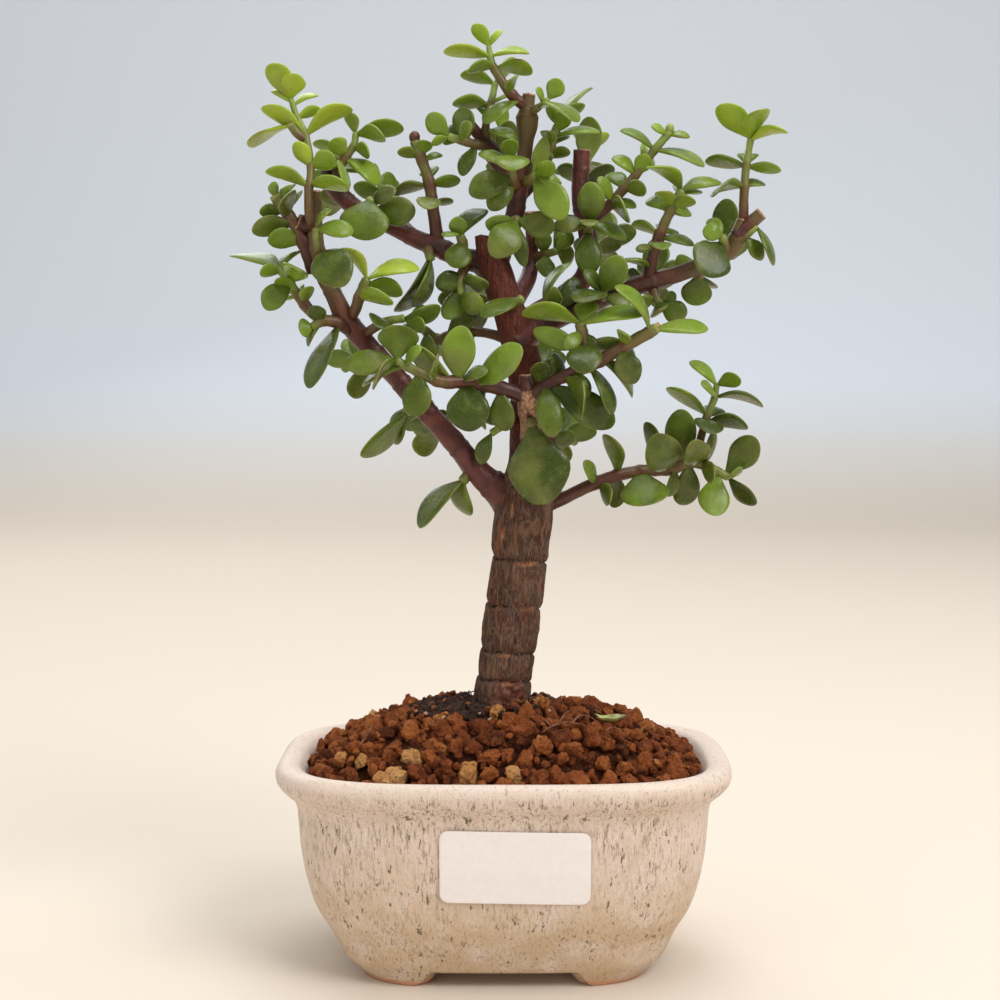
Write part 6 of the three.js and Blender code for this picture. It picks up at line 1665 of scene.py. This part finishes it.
        # The tint falls in each ring's crease to paint it dark: partly the ring's own line, partly painted shade.
        tint = 0.5 + 0.42 * (0.35 + 0.65 * old) * net + 0.1 * flake - 0.8 * np.clip(crease, 0, 1)
        rough_edge = 0.35 * lumps(flat * [1, 1, 0.5], 1.1, 35) + 0.25 * lumps(flat, 0.6, 36)
        for eye in self.eyes:
            d = self.spot(flat, x0, *eye)
            rim_round = bell(d - 1.0, 0.28)
            relief += 0.3 * rim_round - 0.2 * ease(1.0, 0.3, d)
            tint += 0.75 * rim_round - 0.15 * ease(0.9, 0.4, d)
        torn = ease(1.25, 0.75, self.spot(flat, x0, *self.torn) + rough_edge)
        relief += torn * (0.55 * lumps(flat, 1.4, 37) + 0.35 * lumps(flat, 0.8, 38) - 0.3)
        tint += torn * (0.9 * lumps(flat, 1.2, 39) + 0.15 - 0.55 * (net - 0.4))
        for *place, pale in self.peels:
            d = self.spot(flat, x0, *place) + rough_edge
            relief -= 0.18 * ease(1.1, 0.8, d)
            tint = np.maximum(tint, (1.0 + pale) * ease(1.15, 0.75, d))
        rings = skin(np.maximum(r + relief, 0.6))
        red = np.maximum(0.85 * ease(128, 160, z)[:, None], torn) + 0.12 * slow
        end = np.array([fine[-1, 0] - 0.5, 0, z[-1] + 0.6])
        return ring_stack(rings, np.array([table[0, 1], 0, table[0, 0] - 0.5]), end, np.clip(tint, 0.02, 2),
                          np.clip(red, 0, 1))

    def limb(self, rows: list[list[float]], number: int) -> Shell:
        """A limb: a smooth path, a faint swollen ring every 10 to 15 mm where a pair of leaves sat, low lumps,
        a swollen foot and a cut end.

        Args:
            rows: its points x, y, z and radius.
            number: its place in the list, which shifts its rings and lumps.

        Returns:
            The shell.
        """
        step, sides = 0.5, 26
        path = smooth_path(Growth.true_rows(rows), step)
        long = step * np.arange(len(path))
        ring = np.zeros(len(path))
        for at in np.arange(6 + number % 3, long[-1], 12.3):
            place = at + 2.4 * math.sin(at * 2.1 + number)
            ring += bell(long - place, 0.6) - 0.5 * bell(long - place - 1.1, 0.4)
        angle = turns(sides)
        cells = np.stack(np.broadcast_arrays(4 * np.cos(angle), 4 * np.sin(angle), 0.45 * long[:, None]), -1)
        cells = cells + number * 31.7
        rough = 0.05 * lumps(cells, 1.3, 41) + 0.08 * lumps(cells, 4.0, 42)
        foot = 0.2 * np.exp(-long / 6)
        swell = 1 + 0.055 * ring[:, None] + rough + foot[:, None]
        tint = np.clip(ring, 0, 1)[:, None] * 0.8
        share = long / long[-1]
        bare, low, high = self.bare
        if number == bare:
            band = ease(low, low + 0.12, share) * ease(high + 0.12, high, share)
            tint = np.maximum(tint, 1.85 * band[:, None] * ease(-1.2, -0.5, lumps(cells, 3, 43)))
        olive = self.olive[number] * ease(0.3, 0.95, share)[:, None]
        return tube(path, sides, swell, tint, 1, blunt=True, rim=olive)

    @staticmethod
    def stub(rows: tuple) -> Shell:
        """A dried stub: a short tube with a ragged, sunk end."""
        path, sides = smooth_path(Growth.true_rows(rows), 0.4), 20
        swell = 1 + 0.08 * lumps(path[:, None, :3] + np.arange(sides)[None, :, None] * 1.7, 1.5, 44)
        return tube(path, sides, swell, 0.9, 1, blunt=True)

    def build(self) -> None:
        """The trunk and each limb, in one piece."""
        shells = [self.trunk(), *(self.limb(rows, k) for k, rows in enumerate(LIMBS)), *map(self.stub, self.stubs)]
        make_piece("trunk_and_limbs", shells, [Bark().build(), LimbBark().build()], "wood")


@dataclass
class Shoots:
    """All leafy shoots, one piece for each spray.

    Attributes:
        around: points round the section of a small leaf and of a large one.
        stations: sections along them.
        large: width in mm from which a leaf is large.
        bright: sprays and the height above which their leaves are new, with how new.
        cut: sprays with a stem that ends in a cut, and which stem of theirs.
        buds: sprays whose stem ends in a round bud, with its radius and how green it is.
        deep: sprays whose leaves are painted darker, as shade under the crown above them, and by how much.
    """

    around: tuple = (12, 16)
    stations: tuple = (13, 19)
    large: float = 7.0
    bright: tuple = (("left_tip", 229, 0.95), ("left_tip", 205, 0.62), ("left_high", 216, 0.66), ("star", 172, 0.82),
                     ("top_right", 250, 0.9), ("top_left", 238, 0.6), ("top_stalk", 236, 0.85),
                     ("far_right", 228, 0.85), ("right_high", 206, 0.62), ("right_tall", 222, 0.6),
                     ("front_left", 172, 0.55), ("front_right", 176, 0.62), ("right_low", 160, 0.55),
                     ("left_low", 176, 0.5), ("crown_right", 150, 0.5))
    cut: tuple = (("left_stub", 0), ("front_right", 0), ("left_tip", 1))
    buds: tuple = (("upright_twig", 1.6, 0.3), ("right_tall", 1.3, 1.0))
    # Painted shade: the leaves of these sprays hang under the crown and are made darker for it.
    deep: tuple = (("big_front", 0.16), ("left_front", 0.05))

    def leaf(self, leaf: Leaf, draw: np.random.Generator) -> Shell:
        """A plump leaf: an ellipse carried along its middle line.

        The ellipse is flattened by raising its sine and cosine to the power 0.82. Its half width follows the
        leaf's outline, slimmer at the foot, and its half height the square root of 1 - u^5. Its upper side is
        fuller than its lower one and has a shallow groove near the foot. The line bends a little to one side,
        by 4u(1 - u), and the edges are raised, the more so on a young leaf, by a drawn cup and twist.

        Args:
            leaf: its place and size.
            draw: the draws of its spray.

        Returns:
            The closed shell.
        """
        big = leaf.wide >= self.large
        n, m = self.around[big], self.stations[big]
        u = 0.5 - 0.5 * np.cos(np.linspace(0.3, np.pi - 0.1, m))
        u = u / u[-1] * 0.988
        angle = turns(n)
        c, s = (np.sign(v) * abs(v) ** 0.82 for v in (np.cos(angle)[None], np.sin(angle)[None]))
        wide = leaf.wide / 2 * np.maximum(Leaf.outline(u) * (0.7 + 0.3 * ease(0, 0.5, u)), 0.12)[:, None]
        high = 0.82 * leaf.thick / 2 * ((1 - u**5) ** 0.5 * (0.65 + 0.35 * ease(0, 0.3, u)))[:, None]
        wide = np.maximum(wide, high * 0.8)
        bend = draw.uniform(-0.035, 0.035) * leaf.long * (4 * u * (1 - u))[:, None]
        across = wide * c * (1 + 0.03 * draw.normal() * np.sin(9 * u)[:, None])
        cup = draw.uniform(-0.02, 0.08) + 0.09 * float(ease(0.5, 0.9, leaf.youth))
        edges = cup * wide * c**2 + draw.uniform(-0.05, 0.05) * wide * c * (2 * u - 1)[:, None]
        groove = 0.3 * bell(c * wide, 0.8) * ease(0.7, 0.1, u)[:, None] * (s > 0)
        up = high * s * np.where(s > 0, 1.12, 0.88) + edges * ease(0.1, 0.5, u)[:, None] - high * groove
        rings = leaf.at(np.broadcast_to(u[:, None], across.shape), across + bend, up)
        heel = leaf.root - leaf.along * 0.5
        tip = leaf.at(1.0, 0.0, 0.0)
        out = np.minimum(wide * (1 - abs(c)) + 0 * s, leaf.long * (1 - u)[:, None])
        rim = np.exp(-out / 0.35) * ease(0.12, 0.4, u)[:, None]
        young = np.clip(leaf.youth - 0.06 * s + 0.05 * u[:, None] + 0 * out, 0, 1)
        return ring_stack(rings, heel, tip, young, rim)

    def stem(self, stem: Stem, number: int, seed: int) -> Shell:
        """A stem: a smooth path with a slight swelling at each pair of leaves and a rounded tip, or a cut one.
        Its skin is old where it is thick and new where it is thin.

        Args:
            stem: its points and leaves.
            number: its place in its spray.
            seed: number of its lumps' pattern.

        Returns:
            The shell.
        """
        step, sides = 0.6, 12
        path = smooth_path(stem.knots, step)
        share = np.linspace(0, 1, len(path))
        knuckle = np.zeros(len(path))
        for place in {round(row[0], 2) for row in stem.wanted}:
            knuckle += bell((share - place) * len(path) * step, 0.9)
        angle = turns(sides)
        cells = path[:, None, :3] + np.stack([np.cos(angle), np.sin(angle), 0 * angle], -1)[None]
        swell = 1 + 0.12 * np.clip(knuckle, 0, 1)[:, None] + 0.05 * lumps(cells, 1.6, seed)
        tint = np.clip(0.3 + 0.6 * share + 0.45 * (1.4 - path[:, 3]) - 0.1 * knuckle, 0, 1)
        return tube(path, sides, swell, tint[:, None], 1, blunt=(stem.name, number) in self.cut)

    def build(self, growth: Growth) -> None:
        """Each spray: its stems and its leaves."""
        finishes = [LeafSkin().build(), GreenStem().build()]
        for name in dict.fromkeys(stem.name for stem in growth.stems):
            own = [(k, stem) for k, stem in enumerate(growth.stems) if stem.name == name]
            shells = []
            for number, (k, stem) in enumerate(own):
                draw = np.random.default_rng(SEED + 100 + k)
                shells.append(self.stem(stem, number, k))
                for leaf in stem.leaves:
                    leaf.youth = self.youth(name, leaf, draw)
                    shells.append(self.leaf(leaf, draw))
            shells += [self.bud(own[0][1], size, green) for spray, size, green in self.buds if spray == name]
            make_piece(f"jade_{name}", shells, finishes, f"shoot_{name}")

    @staticmethod
    def bud(stem: Stem, size: float, green: float) -> Shell:
        """A round bud on a stem's tip: a ball of 9 rings, a little longer than it is wide."""
        lie = np.linspace(0.15, np.pi - 0.15, 9)[:, None]
        round_it = turns(16)[None]
        ball = np.stack([np.sin(lie) * np.cos(round_it), np.sin(lie) * np.sin(round_it),
                         -1.15 * np.cos(lie) + 0 * round_it], -1) * size
        middle = stem.knots[-1][:3] + 0.7 * size * UP
        return ring_stack(middle + ball, middle - 1.15 * size * UP, middle + 1.15 * size * UP, green, 0.0, 1)

    def youth(self, name: str, leaf: Leaf, draw: np.random.Generator) -> float:
        """How young a leaf looks: by its spray's new part, its place on its stem, its height in the crown and
        its size. Before this, leaf.youth is its place along the stem."""
        tip = leaf.root[2] + leaf.along[2] * leaf.long
        new = max([share * float(ease(low - 7, low + 3, tip)) for spray, low, share in self.bright if spray == name],
                  default=0.0)
        place = float(ease(0.75, 1.0, leaf.youth)) * 0.14
        high = float(ease(190, 255, leaf.root[2])) * 0.18
        small = float(ease(13, 7, leaf.long)) * 0.12
        # Sprays in deep lose some youth, which darkens their leaves: painted shade.
        return max(new, 0.12 + place + high + small) + 0.1 * draw.normal() - dict(self.deep).get(name, 0.0)


@dataclass
class FallenLeaf:
    """A withered leaf on the soil.

    Attributes:
        root: where it starts.
        tip: where it ends.
        wide: its width.
        arch: rise of its middle, as a share of its length.
    """

    root: tuple = (26.0, -13.2, 69.2)
    tip: tuple = (34.5, -15.7, 69.5)
    wide: float = 5.6
    arch: float = -0.16

    def build(self, shoots: Shoots) -> None:
        """A leaf like the others but thinner, its edges curled up by the square of the share across, in mm, and
        crumpled by low lumps."""
        leaf = leaf_from(np.array(self.root), np.array(self.tip), self.wide, 0.0, UP, self.arch)
        leaf.thick *= 0.62
        shell = shoots.leaf(leaf, np.random.default_rng(SEED + 50))
        across = (shell.points - leaf.root) @ leaf.side / (self.wide / 2)
        shell.points = shell.points + leaf.face * (across**2)[:, None]
        shell.points += 0.35 * lumps(shell.points, 1.5, 51)[:, None] * leaf.face
        make_piece("withered_leaf", [shell], [DRY_LEAF.build()], "fallen_leaf")


@dataclass
class Studio:
    """The plain pale floor and backdrop, the soft lights and the camera.

    Attributes:
        pitch: how far the camera looks down, in degrees.
        lens: focal length, in mm.
        sensor: width of the picture behind it, in mm.
        floor: the floor's colour.
        wall: the backdrop's colour higher up.
    """

    pitch: float = 5.04
    lens: float = 61.2
    sensor: float = 36.0
    floor: str = "#dfd2c1"
    wall: str = "#ecf3fb"

    def build(self) -> None:
        """Builds all three."""
        self.backdrop()
        self.light("key", (0.8, -0.8, 1.2), 0.8, 15.6, "#fffdfc")
        self.light("fill", (-0.95, -0.7, 0.6), 0.9, 2.8, "#fcfcfc")
        self.light("top", (0.1, 0.1, 1.35), 0.9, 10.4, "#fdfeff")
        self.light("back", (-0.5, 1.1, 0.9), 0.8, 4.0, "#ffffff")
        world = bpy.data.worlds.new("soft room light")
        world.use_nodes = True
        sky = world.node_tree.nodes["Background"].inputs
        sky["Color"].default_value, sky["Strength"].default_value = linear("#f4f6f8"), 0.4
        bpy.context.scene.world = world
        bpy.context.scene.view_settings.view_transform = "Standard"
        self.camera()

    def backdrop(self) -> None:
        """A floor that sweeps up behind in a quarter circle, as one strip of profile points, in m."""
        start, radius, wide = 1.2, 0.6, 4.0
        turn = np.linspace(0, np.pi / 2, 24)
        sweep = np.stack([start + radius * np.sin(turn), radius - radius * np.cos(turn)], -1)
        profile = np.concatenate([[(-3.0, 0.0)], sweep, [(start + radius, 3.0)]])
        points = [(x, y, z) for y, z in profile for x in (-wide, wide)]
        faces = [(2 * i, 2 * i + 1, 2 * i + 3, 2 * i + 2) for i in range(len(profile) - 1)]
        mesh = bpy.data.meshes.new("floor")
        mesh.from_pydata(points, [], faces)
        mesh.polygons.foreach_set("use_smooth", np.ones(len(faces), bool))
        s = Surface("pale paper backdrop", 0.9, 1.45)
        height = s.add("SeparateXYZ", {0: s.where}, "Z")
        mesh.materials.append(s.finish(s.over(self.floor, height, -0.02, 0.15, self.wall)))
        floor = bpy.data.objects.new("floor", mesh)
        bpy.context.scene.collection.objects.link(floor)

    @staticmethod
    def light(name: str, place: tuple, size: float, power: float, colour: str) -> None:
        """A square soft light that looks at the middle of the tree.

        Args:
            name: its name.
            place: where it stands, in m.
            size: its side, in m.
            power: its power in W.
            colour: its colour.
        """
        lamp = bpy.data.lights.new(name, "AREA")
        lamp.size, lamp.energy, lamp.color = size, power, linear(colour)[:3]
        made = bpy.data.objects.new(name, lamp)
        away = np.array(place) - (0, 0, 0.15)
        made.location = place
        made.rotation_euler = (math.atan2(math.hypot(away[0], away[1]), away[2]), 0,
                               math.atan2(away[1], away[0]) + math.pi / 2)
        bpy.context.scene.collection.objects.link(made)

    def camera(self) -> None:
        """The camera at the photograph's eye, looking slightly down."""
        data = bpy.data.cameras.new("camera")
        data.lens, data.sensor_width, data.clip_start = self.lens, self.sensor, 0.05
        made = bpy.data.objects.new("camera", data)
        made.location = (EYE_X * MM, -EYE_DISTANCE * MM, (EYE_Z + FEET_HIGH) * MM)
        made.rotation_euler = (math.radians(90 - self.pitch), 0, 0)
        bpy.context.scene.collection.objects.link(made)
        bpy.context.scene.camera = made


def main() -> None:
    """Builds every piece in order."""
    logging.basicConfig(level=logging.INFO, format="%(name)s: %(message)s")
    pot, soil, collar, shoots = Pot(), Soil(), PeatCollar(), Shoots()
    pot.build()
    Label().build(pot)
    soil.build(pot, collar)
    collar.build(pot, soil)
    Wood().build()
    shoots.build(Growth())
    FallenLeaf().build(shoots)
    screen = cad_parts["drain_screen"]
    for place in screen.material_slots:
        place.material = SCREEN_PLASTIC.build()
    LOG.info("drain_screen: the CAD node with moulded black net")
    Studio().build()


if __name__ == "__main__":
    main()
